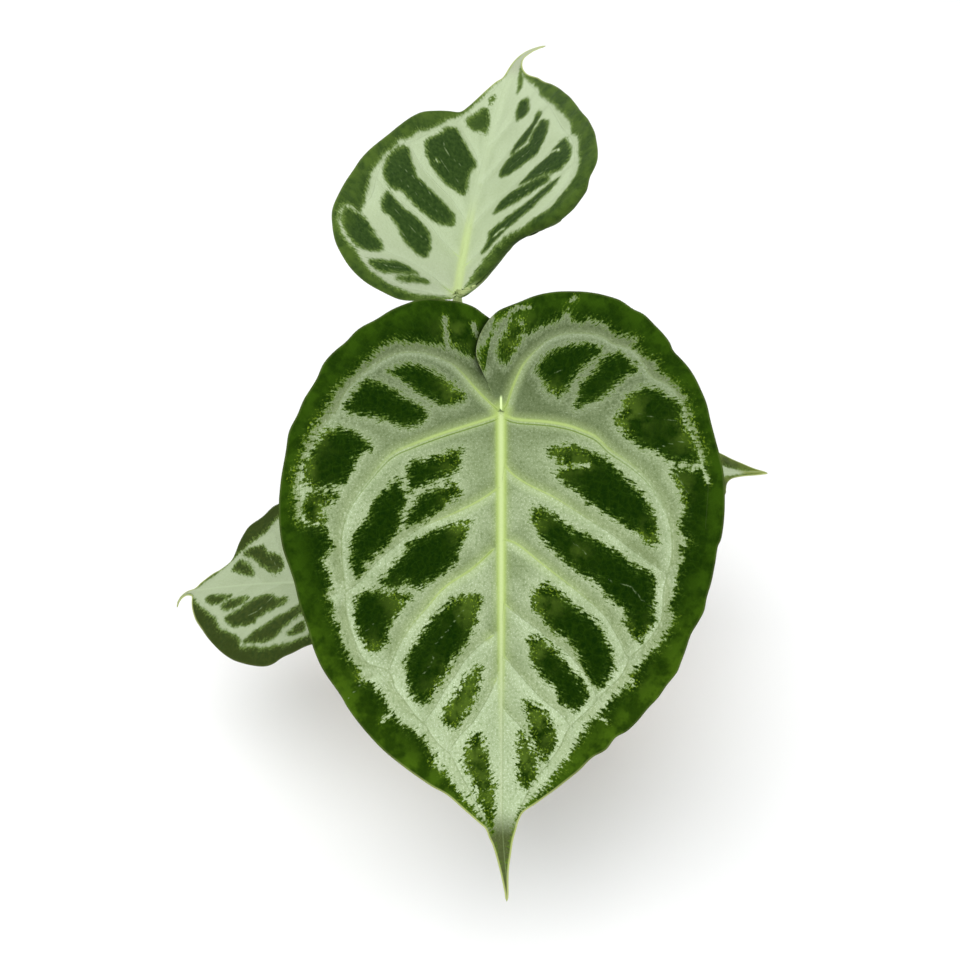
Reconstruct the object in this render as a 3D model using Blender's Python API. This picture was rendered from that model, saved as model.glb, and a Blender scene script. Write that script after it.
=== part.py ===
import math

import bmesh
import bpy
import numpy as np
from mathutils import Matrix, Vector

# A young velvet-leaved anthurium in a plain clay pot: four heart-shaped leaves on
# separate stalks, a short stem with papery sheaths and aerial roots, and bark mix.
# Every dimension is in millimetres and becomes metres as it enters a mesh.
MM = 0.001
GAP = 0.35  # between neighbours that all but touch

# Pot: a turned clay shell with a collar, standing on its whole flat base.
POT_SEGMENTS = 40
POT_HEIGHT = 112.0
POT_WALL = 4.6
POT_FLOOR = 6.0
POT_BASE_RADIUS = 40.0
POT_BODY_RADIUS = 54.0  # outside, just under the collar
COLLAR_HEIGHT = 25.0
COLLAR_RADIUS = 58.2  # outside, at the collar's lower edge
RIM_RADIUS = 60.0
INNER_RIM_RADIUS = RIM_RADIUS - POT_WALL - 1.0
INNER_FLOOR_RADIUS = POT_BASE_RADIUS - POT_WALL
EDGE_RADIUS = 1.6
DRAIN_HOLES = 6
DRAIN_HOLE_RADIUS = 2.4
DRAIN_CIRCLE_RADIUS = 24.0
CUTTER_MARGIN = 5.0  # how far a cutter reaches past what it cuts

# Potting mix: fills the pot to a little below the rim, with a low mound at the crown.
MIX_LEVEL = 99.0  # at the wall
MIX_MOUND = 2.5
MIX_ROUGHNESS = 0.5
SOCKET_TOP = 120.0
STEM_SOCKET_GAP = 2.2
ROOT_SOCKET_GAP = 0.55

# Stem: short and upright, ringed where old leaves have dropped.
STEM_RADIUS = 7.0
STEM_BOTTOM = 84.0
STEM_TOP = 127.0
STEM_RINGS = 6
STEM_RING_DEPTH = 0.6
STEM_FOOT = 4.0  # plain length under the lowest ring
STEM_HEAD = 8.0  # plain length over the highest ring
STEM_SIDES = 18

# Leaf stalks, each with a swollen joint under its leaf.
STALK_SIDES = 10
STALK_BASE_RADIUS = 3.4
STALK_RADIUS = 2.1
STALK_TOP_RADIUS = 1.9
STALK_FLARE_LENGTH = 18.0
JOINT_SWELL = 0.9
JOINT_LENGTH = 13.0
STALK_RING_SPACING = 7.0

# Leaves: outlines in the blade's own plane, as (along the midrib, across it).
BLADE_THICKNESS = 1.1
OUTLINE_STEPS = 26
RAY_STEPS = 5
FAN_SHARE = 0.38  # share of the outline whose rays start at the stalk
MIDRIB_STEPS = 48
MIDRIB_ROUNDING = 8.0
TIP_SHARE = 0.82  # where the drip tip starts to turn

# Sheaths: papery scales between the stalks.
SHEATH_INNER_RADIUS = 8.6
SHEATH_THICKNESS = 0.9
SHEATH_FOOT = 107.8
SHEATH_HALF_WIDTH = 20.0  # degrees round the stem
SHEATH_TIP_HALF_WIDTH = 0.02  # radians
SHEATH_ROWS = 8
SHEATH_COLUMNS = 5

# Aerial roots: out of the stem's side and down into the mix.
ROOT_RADIUS = 1.8
ROOT_TAPER = 0.12
ROOT_SIDES = 8
ROOT_STEPS = 12
ROOT_DEPTH = 91.0

LEAVES = {
    "front": {
        "stalk_joint": (1.4, -55.8, 228.9),
        "length": 219.0,
        "heading": (-90.0, -90.0),  # degrees, anticlockwise from +X seen from above
        "droop": (37.0, 54.0),  # degrees below level, from stalk to tip
        "rise": {"right": 6.0, "left": 6.0},  # degrees each half lifts from the midrib
        "tip_turn": 2.0,
        "tip_droop": -12.0,
        "bends": {},
        "right": [
            (0, 0), (-12, 1.5), (-24, 2), (-36, 3), (-45, 8), (-50, 18), (-51, 30), (-46, 48),
            (-34, 67), (-20, 79), (-5, 87), (10, 93.5), (30, 97), (50, 97.5), (75, 91), (100, 83.5),
            (120, 74), (140, 60.5), (157, 43), (170, 24.5), (183, 10), (195, 4), (207, 2), (219, 0),
        ],
        "left": [
            (0, 0), (-12, 1.5), (-24, 2), (-36, 3), (-49, 8), (-54, 20), (-54.5, 36), (-45, 60),
            (-30, 75.5), (-13, 86.5), (0, 91.5), (15, 94.5), (33, 98), (52, 97.5), (71, 93.5),
            (90, 87.5), (110, 78.5), (130, 65), (150, 44), (165, 26.5), (178, 10), (194, 5), (207, 3),
            (219, 0),
        ],
        "stalk": [(-2.0, -10.9, 108.0), (-2.5, -14.0, 150.0), (-1.0, -22.0, 192.0), (1.0, -38.0, 211.0)],
        "lift_off": 4.0,
    },
    "back": {
        "stalk_joint": (-19.6, 45.7, 217.2),
        "length": 192.0,
        "heading": (84.0, 73.0),
        "droop": (-12.0, -16.0),
        "rise": {"right": 43.0, "left": 34.0},
        "tip_turn": -70.0,
        "tip_droop": 10.0,
        "bends": {
            "right": {
                "edge": [(-1, 0), (11, 8.5), (22, 18), (29, 28), (29, 39), (27, 50), (27, 60), (31, 70),
                         (37, 78), (44, 90)],
                "run": (0.0, 6.0, 14.0),
                "turn": (0.0, 130.0, 170.0),
            },
        },
        "right": [
            (0, 0), (0, 4), (5, 9), (12, 17), (18, 26), (21, 38), (19, 50), (20, 61), (25, 71),
            (33, 79), (50, 87), (66, 83), (80, 77.5), (95, 68.5), (112, 58), (131, 42.5), (150, 22),
            (161, 10), (178, 4), (192, 0),
        ],
        "left": [
            (0, 0), (-8, 8), (-14, 20), (-17, 34), (-16, 48), (-12, 58), (-4, 66.5), (8, 72),
            (22, 73.5), (38, 70.5), (58, 65), (80, 55), (100, 45), (112, 37), (124, 27), (140, 18),
            (155, 10), (168, 6), (180, 3), (192, 0),
        ],
        "stalk": [(1.6, 10.8, 108.0), (-1.0, 15.0, 150.0), (-10.5, 28.0, 184.0), (-18.0, 42.5, 202.0)],
        "lift_off": 4.0,
    },
    "left": {
        "stalk_joint": (-74.2, -70.2, 129.6),
        "length": 112.0,
        "heading": (160.0, 168.0),
        "droop": (20.0, 26.0),
        "rise": {"right": 26.0, "left": -21.0},
        "tip_turn": 40.0,
        "tip_droop": 60.0,
        "bends": {},
        "right": [
            (0, 0), (-8, 3), (-15, 9), (-19, 19), (-17, 30), (-9, 40), (3, 47), (18, 51),
            (34, 50), (50, 45), (58, 39.5), (66, 34), (72, 21), (80, 11.5), (89, 6), (98, 3), (112, 0),
        ],
        "left": [
            (0, 0), (-8, 3), (-15, 8), (-18, 16), (-15, 25), (-6, 31), (8, 34.5), (25, 42), (36, 46),
            (50, 44), (66, 37), (75, 30), (83, 23), (90, 14), (98, 4.5), (112, 0),
        ],
        "stalk": [(-10.6, 0.4, 108.0), (-20.0, -10.0, 129.0), (-42.0, -34.0, 133.0), (-65.0, -60.0, 123.0)],
        "lift_off": 5.0,
    },
    "right": {
        "stalk_joint": (56.0, -15.5, 156.5),
        "length": 109.0,
        "heading": (22.0, 18.0),
        "droop": (23.0, 25.0),
        "rise": {"right": 24.0, "left": -6.0},
        "tip_turn": -6.0,
        "tip_droop": -6.0,
        "bends": {},
        "right": [
            (0, 0), (-8, 3), (-15, 8), (-18, 17), (-16, 28), (-9, 37), (2, 44), (16, 48),
            (32, 44), (46, 36.5), (57, 27), (66, 17), (75, 8.5), (84, 4), (98, 2), (109, 0),
        ],
        "left": [
            (0, 0), (-8, 3), (-15, 8), (-18, 17), (-16, 28), (-9, 37), (2, 44), (16, 49),
            (32, 48), (48, 43), (62, 35), (75, 26), (85, 18), (95, 10), (103, 4), (109, 0),
        ],
        "stalk": [(10.9, -0.4, 108.0), (17.0, -2.5, 132.0), (34.0, -7.5, 143.0), (53.5, -14.0, 144.5)],
        "lift_off": 7.0,
    },
}

SHEATH_ANGLES = {1: -47.0, 2: 38.0, 3: 124.0, 4: -140.0}
SHEATH_LENGTHS = {1: 34.0, 2: 42.0, 3: 30.0, 4: 38.0}
SHEATH_LEANS = {1: 9.0, 2: 6.0, 3: 10.0, 4: 7.0}

# Each root leaves the stem at this angle and enters the mix at this radius.
ROOTS = {1: (-62.0, 25.0), 2: (22.0, 22.0), 3: (138.0, 27.0), 4: (-125.0, 21.0)}
ROOT_START = 103.6


def clear_scene():
    for item in list(bpy.data.objects):
        bpy.data.objects.remove(item, do_unlink=True)


def material(name, colour, roughness):
    made = bpy.data.materials.new(name)
    made.use_nodes = True
    shader = made.node_tree.nodes["Principled BSDF"]
    shader.inputs["Base Color"].default_value = (*colour, 1.0)
    shader.inputs["Roughness"].default_value = roughness
    shader.inputs["Metallic"].default_value = 0.0
    return made


def add_object(name, shape, finish, smooth_angle=40.0):
    """Turns a bmesh in millimetres into a named object in metres."""
    bmesh.ops.scale(shape, vec=(MM, MM, MM), verts=shape.verts)
    mesh = bpy.data.meshes.new(name)
    shape.to_mesh(mesh)
    shape.free()
    mesh.shade_smooth()
    mesh.set_sharp_from_angle(angle=math.radians(smooth_angle))
    item = bpy.data.objects.new(name, mesh)
    item.data.materials.append(finish)
    bpy.context.collection.objects.link(item)
    return item


def cut(item, cutters):
    """Subtracts hidden cutter objects from an object."""
    for cutter in cutters:
        cutter.hide_render = True
        cutter.display_type = "WIRE"
        boolean = item.modifiers.new("cut_" + cutter.name, "BOOLEAN")
        boolean.operation = "DIFFERENCE"
        boolean.solver = "EXACT"
        boolean.object = cutter


def turned(profile, segments):
    """Turns (radius, height) points about Z; a zero radius closes the end in a point."""
    shape = bmesh.new()
    rings = []
    for radius, height in profile:
        if radius == 0.0:
            rings.append([shape.verts.new((0.0, 0.0, height))])
            continue
        ring = []
        for step in range(segments):
            angle = 2.0 * math.pi * step / segments
            ring.append(shape.verts.new((radius * math.cos(angle), radius * math.sin(angle), height)))
        rings.append(ring)
    for lower, upper in zip(rings, rings[1:]):
        for step in range(segments):
            ahead = (step + 1) % segments
            if len(lower) == 1:
                shape.faces.new((lower[0], upper[ahead], upper[step]))
            elif len(upper) == 1:
                shape.faces.new((lower[step], lower[ahead], upper[0]))
            else:
                shape.faces.new((lower[step], lower[ahead], upper[ahead], upper[step]))
    bmesh.ops.recalc_face_normals(shape, faces=shape.faces)
    return shape


def cylinder(name, centre, radius, bottom, top, sides, finish):
    shape = turned([(0.0, bottom), (radius, bottom), (radius, top), (0.0, top)], sides)
    bmesh.ops.translate(shape, vec=(centre[0], centre[1], 0.0), verts=shape.verts)
    return add_object(name, shape, finish)


def through(points, count):
    """Evenly spaced points of a smooth curve (Catmull-Rom) through the given ones."""
    given = np.array(points, float)
    padded = np.vstack([2.0 * given[0] - given[1], given, 2.0 * given[-1] - given[-2]])
    share = np.linspace(0.0, 1.0, 16, endpoint=False)[:, None]
    dense = []
    for p0, p1, p2, p3 in zip(padded, padded[1:], padded[2:], padded[3:]):
        a = 2.0 * p1
        b = p2 - p0
        c = 2.0 * p0 - 5.0 * p1 + 4.0 * p2 - p3
        d = 3.0 * p1 - p0 - 3.0 * p2 + p3
        dense.append(0.5 * (a + b * share + c * share**2 + d * share**3))
    dense = np.vstack(dense + [given[-1:]])
    run = np.concatenate([[0.0], np.cumsum(np.linalg.norm(np.diff(dense, axis=0), axis=1))])
    wanted = np.linspace(0.0, run[-1], count)
    return np.stack([np.interp(wanted, run, axis) for axis in dense.T], axis=1)


def tube(path, radii, sides):
    """A closed tube along the path, its rings carried along without twist."""
    shape = bmesh.new()
    path = [Vector(point) for point in path]
    tangents = []
    for step, point in enumerate(path):
        ahead = path[min(step + 1, len(path) - 1)]
        behind = path[max(step - 1, 0)]
        tangents.append((ahead - behind).normalized())
    side = tangents[0].orthogonal().normalized()
    rings = []
    for point, tangent, radius in zip(path, tangents, radii):
        side = (side - tangent * side.dot(tangent)).normalized()
        other = tangent.cross(side)
        ring = []
        for step in range(sides):
            angle = 2.0 * math.pi * step / sides
            reach = side * math.cos(angle) + other * math.sin(angle)
            ring.append(shape.verts.new(point + reach * radius))
        rings.append(ring)
    for lower, upper in zip(rings, rings[1:]):
        for step in range(sides):
            ahead = (step + 1) % sides
            shape.faces.new((lower[step], lower[ahead], upper[ahead], upper[step]))
    shape.faces.new(rings[0])
    shape.faces.new(rings[-1])
    bmesh.ops.recalc_face_normals(shape, faces=shape.faces)
    return shape


def midrib(leaf):
    """Points, directions along, directions across and upward normals down the midrib."""
    step_length = leaf["length"] / MIDRIB_STEPS
    points = [np.array(leaf["stalk_joint"])]
    along = []
    for step in range(MIDRIB_STEPS + 1):
        share = step / MIDRIB_STEPS
        turn = max(0.0, (share - TIP_SHARE) / (1.0 - TIP_SHARE)) ** 1.3
        heading = leaf["heading"][0] + (leaf["heading"][1] - leaf["heading"][0]) * share
        droop = leaf["droop"][0] + (leaf["droop"][1] - leaf["droop"][0]) * share
        heading = math.radians(heading + leaf["tip_turn"] * turn)
        droop = math.radians(droop + leaf["tip_droop"] * turn)
        level = math.cos(droop)
        along.append((math.cos(heading) * level, math.sin(heading) * level, -math.sin(droop)))
        points.append(points[-1] + step_length * np.array(along[-1]))
    points = np.array(points[:-1])
    along = np.array(along)
    across = np.stack([along[:, 1], -along[:, 0], np.zeros(len(along))], axis=1)
    across /= np.linalg.norm(across, axis=1)[:, None]
    return points, along, across, np.cross(across, along)


def bent(flat, bend):
    """Rolls what lies behind the bend's edge under; its turn grows with the run past the edge."""
    edge = through(bend["edge"], 60)
    past = np.maximum(np.interp(flat[:, 1], edge[:, 1], edge[:, 0]) - flat[:, 0], 0.0)
    run = np.arange(0.0, 90.0, 0.25)
    turn = np.radians(np.interp(run, bend["run"], bend["turn"]))
    reach = np.interp(past, run, (np.cumsum(np.cos(turn)) - 1.0) * 0.25)
    drop = np.interp(past, run, np.cumsum(np.sin(turn)) * 0.25)
    return flat + np.stack([past - reach, np.zeros(len(flat))], axis=1), -drop


def blade_points(leaf, frame, side, flat):
    """Places flat points (along, across) of one half blade in space."""
    points, along, across, up = frame
    lift = np.zeros(len(flat))
    if side in leaf["bends"]:
        flat, lift = bent(flat, leaf["bends"][side])
    place = np.clip(flat[:, 0] / leaf["length"], 0.0, 1.0) * MIDRIB_STEPS
    steps = np.arange(MIDRIB_STEPS + 1)
    origin, forward, outward, normal = (
        np.stack([np.interp(place, steps, axis) for axis in rows.T], axis=1)
        for rows in (points, along, across, up)
    )
    origin = origin + forward * np.minimum(flat[:, 0], 0.0)[:, None]
    sign = 1.0 if side == "right" else -1.0
    rise = math.radians(leaf["rise"][side])
    width = np.maximum(flat[:, 1], 0.0)
    raised = width - MIDRIB_ROUNDING * (1.0 - np.exp(-width / MIDRIB_ROUNDING))
    reach = width - (1.0 - math.cos(rise)) * raised - math.sin(rise) * lift
    height = math.sin(rise) * raised + math.cos(rise) * lift
    return origin + outward * (sign * reach)[:, None] + normal * height[:, None]


def leaf_sheet(leaf):
    """The blade as one sheet: rays fan out from the stalk, then leave the midrib in turn."""
    shape = bmesh.new()
    frame = midrib(leaf)
    shares = np.linspace(0.0, 1.0, OUTLINE_STEPS + 1)
    slide = np.clip((shares - FAN_SHARE) / (1.0 - FAN_SHARE), 0.0, 1.0) ** 1.2
    last_fan = int(np.sum(slide == 0.0)) - 1
    known = {}

    def vertex(side, step, ray, place):
        if step == OUTLINE_STEPS:
            key = "tip"
        elif ray == 0:
            key = "stalk" if step <= last_fan else ("midrib", step)
        else:
            key = (side, step, ray)
        if key not in known:
            known[key] = shape.verts.new(place)
        return known[key]

    for side in ("right", "left"):
        outline = through(leaf[side], OUTLINE_STEPS + 1)
        grid = []
        for step in range(1, OUTLINE_STEPS + 1):
            start = np.array([leaf["length"] * slide[step], 0.0])
            share = np.linspace(0.0, 1.0, RAY_STEPS + 1)[:, None]
            flat = start * (1.0 - share) + outline[step] * share
            places = blade_points(leaf, frame, side, flat)
            grid.append([vertex(side, step, ray, place) for ray, place in enumerate(places)])
        for row, after in zip(grid, grid[1:]):
            for ray in range(RAY_STEPS):
                corners = [row[ray], after[ray], after[ray + 1], row[ray + 1]]
                corners = list(dict.fromkeys(corners))
                if side == "left":
                    corners.reverse()
                if len(corners) > 2:
                    shape.faces.new(corners)
    return shape


def make_leaf(name, leaf, finish):
    item = add_object("leaf_" + name, leaf_sheet(leaf), finish)
    solidify = item.modifiers.new("thickness", "SOLIDIFY")
    solidify.thickness = BLADE_THICKNESS * MM
    solidify.offset = 0.0
    solidify.use_even_offset = False
    return item


def make_stalk(name, leaf, finish):
    """A leaf stalk from the crown to just under the leaf, swollen near its top."""
    frame = midrib(leaf)
    joint, normal = Vector(frame[0][0]), Vector(frame[3][0])
    end = joint - normal * (BLADE_THICKNESS / 2.0 + GAP)
    route = list(leaf["stalk"]) + [tuple(end - normal * leaf["lift_off"]), tuple(end)]
    length = sum(math.dist(a, b) for a, b in zip(route, route[1:]))
    count = int(length / STALK_RING_SPACING) + 2
    path = through(route, count)
    radii = []
    for step in range(count):
        share = step / (count - 1)
        base = STALK_BASE_RADIUS - STALK_RADIUS
        from_top = (1.0 - share) * length
        swell = JOINT_SWELL * math.exp(-(((from_top - JOINT_LENGTH) / JOINT_LENGTH) ** 2))
        taper = STALK_RADIUS + (STALK_TOP_RADIUS - STALK_RADIUS) * share
        radii.append(taper + base * math.exp(-share * length / STALK_FLARE_LENGTH) + swell)
    return add_object("petiole_" + name, tube(path, radii, STALK_SIDES), finish)


def pot_profile():
    """Outside and inside of the clay wall, from the base's centre round to the floor's."""
    collar_foot = POT_HEIGHT - COLLAR_HEIGHT
    rounding = [
        (RIM_RADIUS, POT_HEIGHT - EDGE_RADIUS),
        (RIM_RADIUS - 0.3 * EDGE_RADIUS, POT_HEIGHT - 0.3 * EDGE_RADIUS),
        (RIM_RADIUS - EDGE_RADIUS, POT_HEIGHT),
        (INNER_RIM_RADIUS + EDGE_RADIUS, POT_HEIGHT),
        (INNER_RIM_RADIUS + 0.3 * EDGE_RADIUS, POT_HEIGHT - 0.3 * EDGE_RADIUS),
        (INNER_RIM_RADIUS, POT_HEIGHT - EDGE_RADIUS),
    ]
    return [
        (0.0, 0.0),
        (POT_BASE_RADIUS - EDGE_RADIUS, 0.0),
        (POT_BASE_RADIUS, EDGE_RADIUS),
        (POT_BODY_RADIUS, collar_foot - EDGE_RADIUS),
        (COLLAR_RADIUS - EDGE_RADIUS, collar_foot),
        (COLLAR_RADIUS, collar_foot + EDGE_RADIUS),
        *rounding,
        (inner_radius(collar_foot), collar_foot),
        (INNER_FLOOR_RADIUS, POT_FLOOR),
        (0.0, POT_FLOOR),
    ]


def inner_radius(height):
    """The straight part of the pot's inside, from the floor up to the rim."""
    share = (height - POT_FLOOR) / (POT_HEIGHT - EDGE_RADIUS - POT_FLOOR)
    return INNER_FLOOR_RADIUS + (INNER_RIM_RADIUS - INNER_FLOOR_RADIUS) * share


def make_pot(finish, cutter_finish):
    pot = add_object("pot", turned(pot_profile(), POT_SEGMENTS), finish, smooth_angle=30.0)
    holes = []
    for number in range(DRAIN_HOLES):
        angle = 2.0 * math.pi * (number + 0.5) / DRAIN_HOLES
        centre = (DRAIN_CIRCLE_RADIUS * math.cos(angle), DRAIN_CIRCLE_RADIUS * math.sin(angle))
        name = "drain_cutter_%d" % (number + 1)
        top = POT_FLOOR + CUTTER_MARGIN
        holes.append(cylinder(name, centre, DRAIN_HOLE_RADIUS, -CUTTER_MARGIN, top, 10, cutter_finish))
    cut(pot, holes)
    return pot


def make_mix(finish, cutter_finish):
    """The body of potting mix, with a socket for the stem and one for each root."""
    bottom = POT_FLOOR + GAP
    wall = inner_radius(MIX_LEVEL) - GAP
    profile = [(0.0, bottom), (inner_radius(bottom) - GAP, bottom), (wall, MIX_LEVEL)]
    for share in (0.86, 0.7, 0.54, 0.38, 0.22):
        profile.append((wall * share, MIX_LEVEL + MIX_MOUND * (1.0 - share) ** 0.8))
    profile.append((0.0, MIX_LEVEL + MIX_MOUND))
    shape = turned(profile, POT_SEGMENTS)
    for vert in shape.verts:
        radius = math.hypot(vert.co.x, vert.co.y)
        if vert.co.z > MIX_LEVEL + 0.1:
            angle = math.atan2(vert.co.y, vert.co.x)
            ripple = math.sin(5.0 * angle + 0.3 * radius) + math.cos(7.0 * angle - 0.2 * radius)
            vert.co.z += MIX_ROUGHNESS * ripple
    mix = add_object("potting_mix", shape, finish)
    stem_socket = STEM_RADIUS + STEM_SOCKET_GAP
    bottom = STEM_BOTTOM - GAP
    sockets = [cylinder("stem_cutter", (0.0, 0.0), stem_socket, bottom, SOCKET_TOP, 20, cutter_finish)]
    for number, (angle, radius) in ROOTS.items():
        centre = (radius * math.cos(math.radians(angle)), radius * math.sin(math.radians(angle)))
        name = "root_cutter_%d" % number
        socket = ROOT_RADIUS + ROOT_SOCKET_GAP
        sockets.append(cylinder(name, centre, socket, ROOT_DEPTH - GAP, SOCKET_TOP, 12, cutter_finish))
    cut(mix, sockets)
    return mix


def make_stem(finish):
    """A short upright stem with a swollen ring at each old leaf scar and a blunt top."""
    profile = [(0.0, STEM_BOTTOM), (STEM_RADIUS * 0.7, STEM_BOTTOM), (STEM_RADIUS, STEM_BOTTOM + 3.0)]
    ring_spacing = (STEM_TOP - STEM_HEAD - STEM_BOTTOM - STEM_FOOT) / STEM_RINGS
    for ring in range(STEM_RINGS):
        height = STEM_BOTTOM + STEM_FOOT + ring * ring_spacing
        profile.append((STEM_RADIUS - STEM_RING_DEPTH, height + 0.25 * ring_spacing))
        profile.append((STEM_RADIUS, height + 0.75 * ring_spacing))
    profile += [
        (STEM_RADIUS - 1.0, STEM_TOP - 6.0),
        (STEM_RADIUS - 3.0, STEM_TOP - 2.0),
        (0.0, STEM_TOP),
    ]
    return add_object("stem", turned(profile, STEM_SIDES), finish)


def make_sheath(number, finish):
    """A pointed papery scale that hugs the stem at its foot and leans out above."""
    length = SHEATH_LENGTHS[number]
    lean = math.radians(SHEATH_LEANS[number])
    turn = math.radians(SHEATH_ANGLES[number])
    shape = bmesh.new()
    rows = []
    last = SHEATH_COLUMNS - 1
    for step in range(SHEATH_ROWS):
        share = step / (SHEATH_ROWS - 1)
        half_width = math.radians(SHEATH_HALF_WIDTH) * (1.0 - share**2.2) + SHEATH_TIP_HALF_WIDTH
        radius = SHEATH_INNER_RADIUS + length * share * math.sin(lean)
        height = SHEATH_FOOT + length * share * math.cos(lean)
        row = []
        for layer in (0.0, SHEATH_THICKNESS * (1.0 - 0.6 * share)):
            for column in range(SHEATH_COLUMNS):
                angle = turn + half_width * SHEATH_INNER_RADIUS / radius * (2.0 * column / last - 1.0)
                reach = radius + layer
                row.append(shape.verts.new((reach * math.cos(angle), reach * math.sin(angle), height)))
        rows.append(row[:SHEATH_COLUMNS] + row[:last:-1])
    sides = 2 * SHEATH_COLUMNS
    for lower, upper in zip(rows, rows[1:]):
        for step in range(sides):
            ahead = (step + 1) % sides
            shape.faces.new((lower[step], lower[ahead], upper[ahead], upper[step]))
    for row in (rows[0], rows[-1]):
        for step in range(last):
            shape.faces.new((row[step], row[step + 1], row[sides - 2 - step], row[sides - 1 - step]))
    bmesh.ops.recalc_face_normals(shape, faces=shape.faces)
    return add_object("cataphyll_%d" % number, shape, finish)


def make_root(number, finish):
    """An aerial root: out of the stem just above the mix, over, and down into its socket."""
    angle, radius = ROOTS[number]
    start = STEM_RADIUS + GAP + 0.3
    route = [
        (start, 0.0, ROOT_START),
        (start + 0.35 * (radius - start), 0.0, ROOT_START + 1.6),
        (radius - 2.5, 0.0, ROOT_START + 0.4),
        (radius, 0.0, ROOT_START - 3.2),
        (radius, 0.0, ROOT_DEPTH),
    ]
    path = through(route, ROOT_STEPS)
    radii = [ROOT_RADIUS * (1.0 - ROOT_TAPER * step / (ROOT_STEPS - 1)) for step in range(ROOT_STEPS)]
    shape = tube(path, radii, ROOT_SIDES)
    turn = Matrix.Rotation(math.radians(angle), 3, "Z")
    bmesh.ops.rotate(shape, cent=(0.0, 0.0, 0.0), matrix=turn, verts=shape.verts)
    return add_object("aerial_root_%d" % number, shape, finish)


def main():
    clear_scene()
    clay = material("terracotta_clay", (0.52, 0.21, 0.11), 0.85)
    bark = material("bark_mix", (0.09, 0.05, 0.03), 0.95)
    stem_skin = material("stem_skin", (0.16, 0.20, 0.06), 0.6)
    stalk_skin = material("stalk_skin", (0.25, 0.36, 0.11), 0.5)
    velvet = material("leaf_velvet", (0.06, 0.14, 0.03), 0.6)
    sheath_paper = material("sheath_paper", (0.34, 0.22, 0.10), 0.8)
    root_skin = material("root_skin", (0.40, 0.36, 0.22), 0.8)
    guide = material("cutter_guide", (0.8, 0.1, 0.1), 0.5)

    make_pot(clay, guide)
    make_mix(bark, guide)
    make_stem(stem_skin)
    for name, leaf in LEAVES.items():
        make_stalk(name, leaf, stalk_skin)
        make_leaf(name, leaf, velvet)
    for number in SHEATH_ANGLES:
        make_sheath(number, sheath_paper)
    for number in ROOTS:
        make_root(number, root_skin)


main()
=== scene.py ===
import math

import bmesh
import bpy
import numpy as np
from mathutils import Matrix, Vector, noise


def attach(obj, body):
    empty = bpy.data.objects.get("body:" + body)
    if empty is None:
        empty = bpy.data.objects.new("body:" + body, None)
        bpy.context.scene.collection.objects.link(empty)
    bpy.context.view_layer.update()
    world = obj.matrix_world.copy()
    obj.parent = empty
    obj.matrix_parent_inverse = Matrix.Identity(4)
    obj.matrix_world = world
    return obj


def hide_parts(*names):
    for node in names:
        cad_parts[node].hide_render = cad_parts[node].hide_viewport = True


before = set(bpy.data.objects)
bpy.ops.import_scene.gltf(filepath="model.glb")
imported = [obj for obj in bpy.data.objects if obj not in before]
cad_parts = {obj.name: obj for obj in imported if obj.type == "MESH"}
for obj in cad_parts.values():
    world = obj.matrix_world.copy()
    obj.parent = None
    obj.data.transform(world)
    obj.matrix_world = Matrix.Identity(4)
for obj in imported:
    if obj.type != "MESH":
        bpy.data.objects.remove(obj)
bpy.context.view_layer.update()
mm = 0.001


class Wire:
    # a value or colour coming out of a node; sums written with it add Math nodes
    def __init__(self, finish, socket):
        self.finish = finish
        self.socket = socket

    def math(self, operation, *others):
        return self.finish.node("Math", {"operation": operation}, dict(enumerate((self, *others))))

    def __add__(self, other):
        return self.math("ADD", other)

    def __mul__(self, other):
        return self.math("MULTIPLY", other)

    def __sub__(self, other):
        return self.math("SUBTRACT", other)

    def __rsub__(self, other):
        return self.finish.node("Math", {"operation": "SUBTRACT"}, {0: other, 1: self})

    def __truediv__(self, other):
        return self.math("DIVIDE", other)

    def __abs__(self):
        return self.math("ABSOLUTE")

    __radd__ = __add__
    __rmul__ = __mul__

    def most(self, other):
        return self.math("MAXIMUM", other)

    def least(self, other):
        return self.math("MINIMUM", other)

    def ease(self, low, high):
        # 0 at low, 1 at high, smooth between
        inputs = {"Value": self, "From Min": low, "From Max": high}
        return self.finish.node("MapRange", {"interpolation_type": "SMOOTHSTEP"}, inputs)


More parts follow.
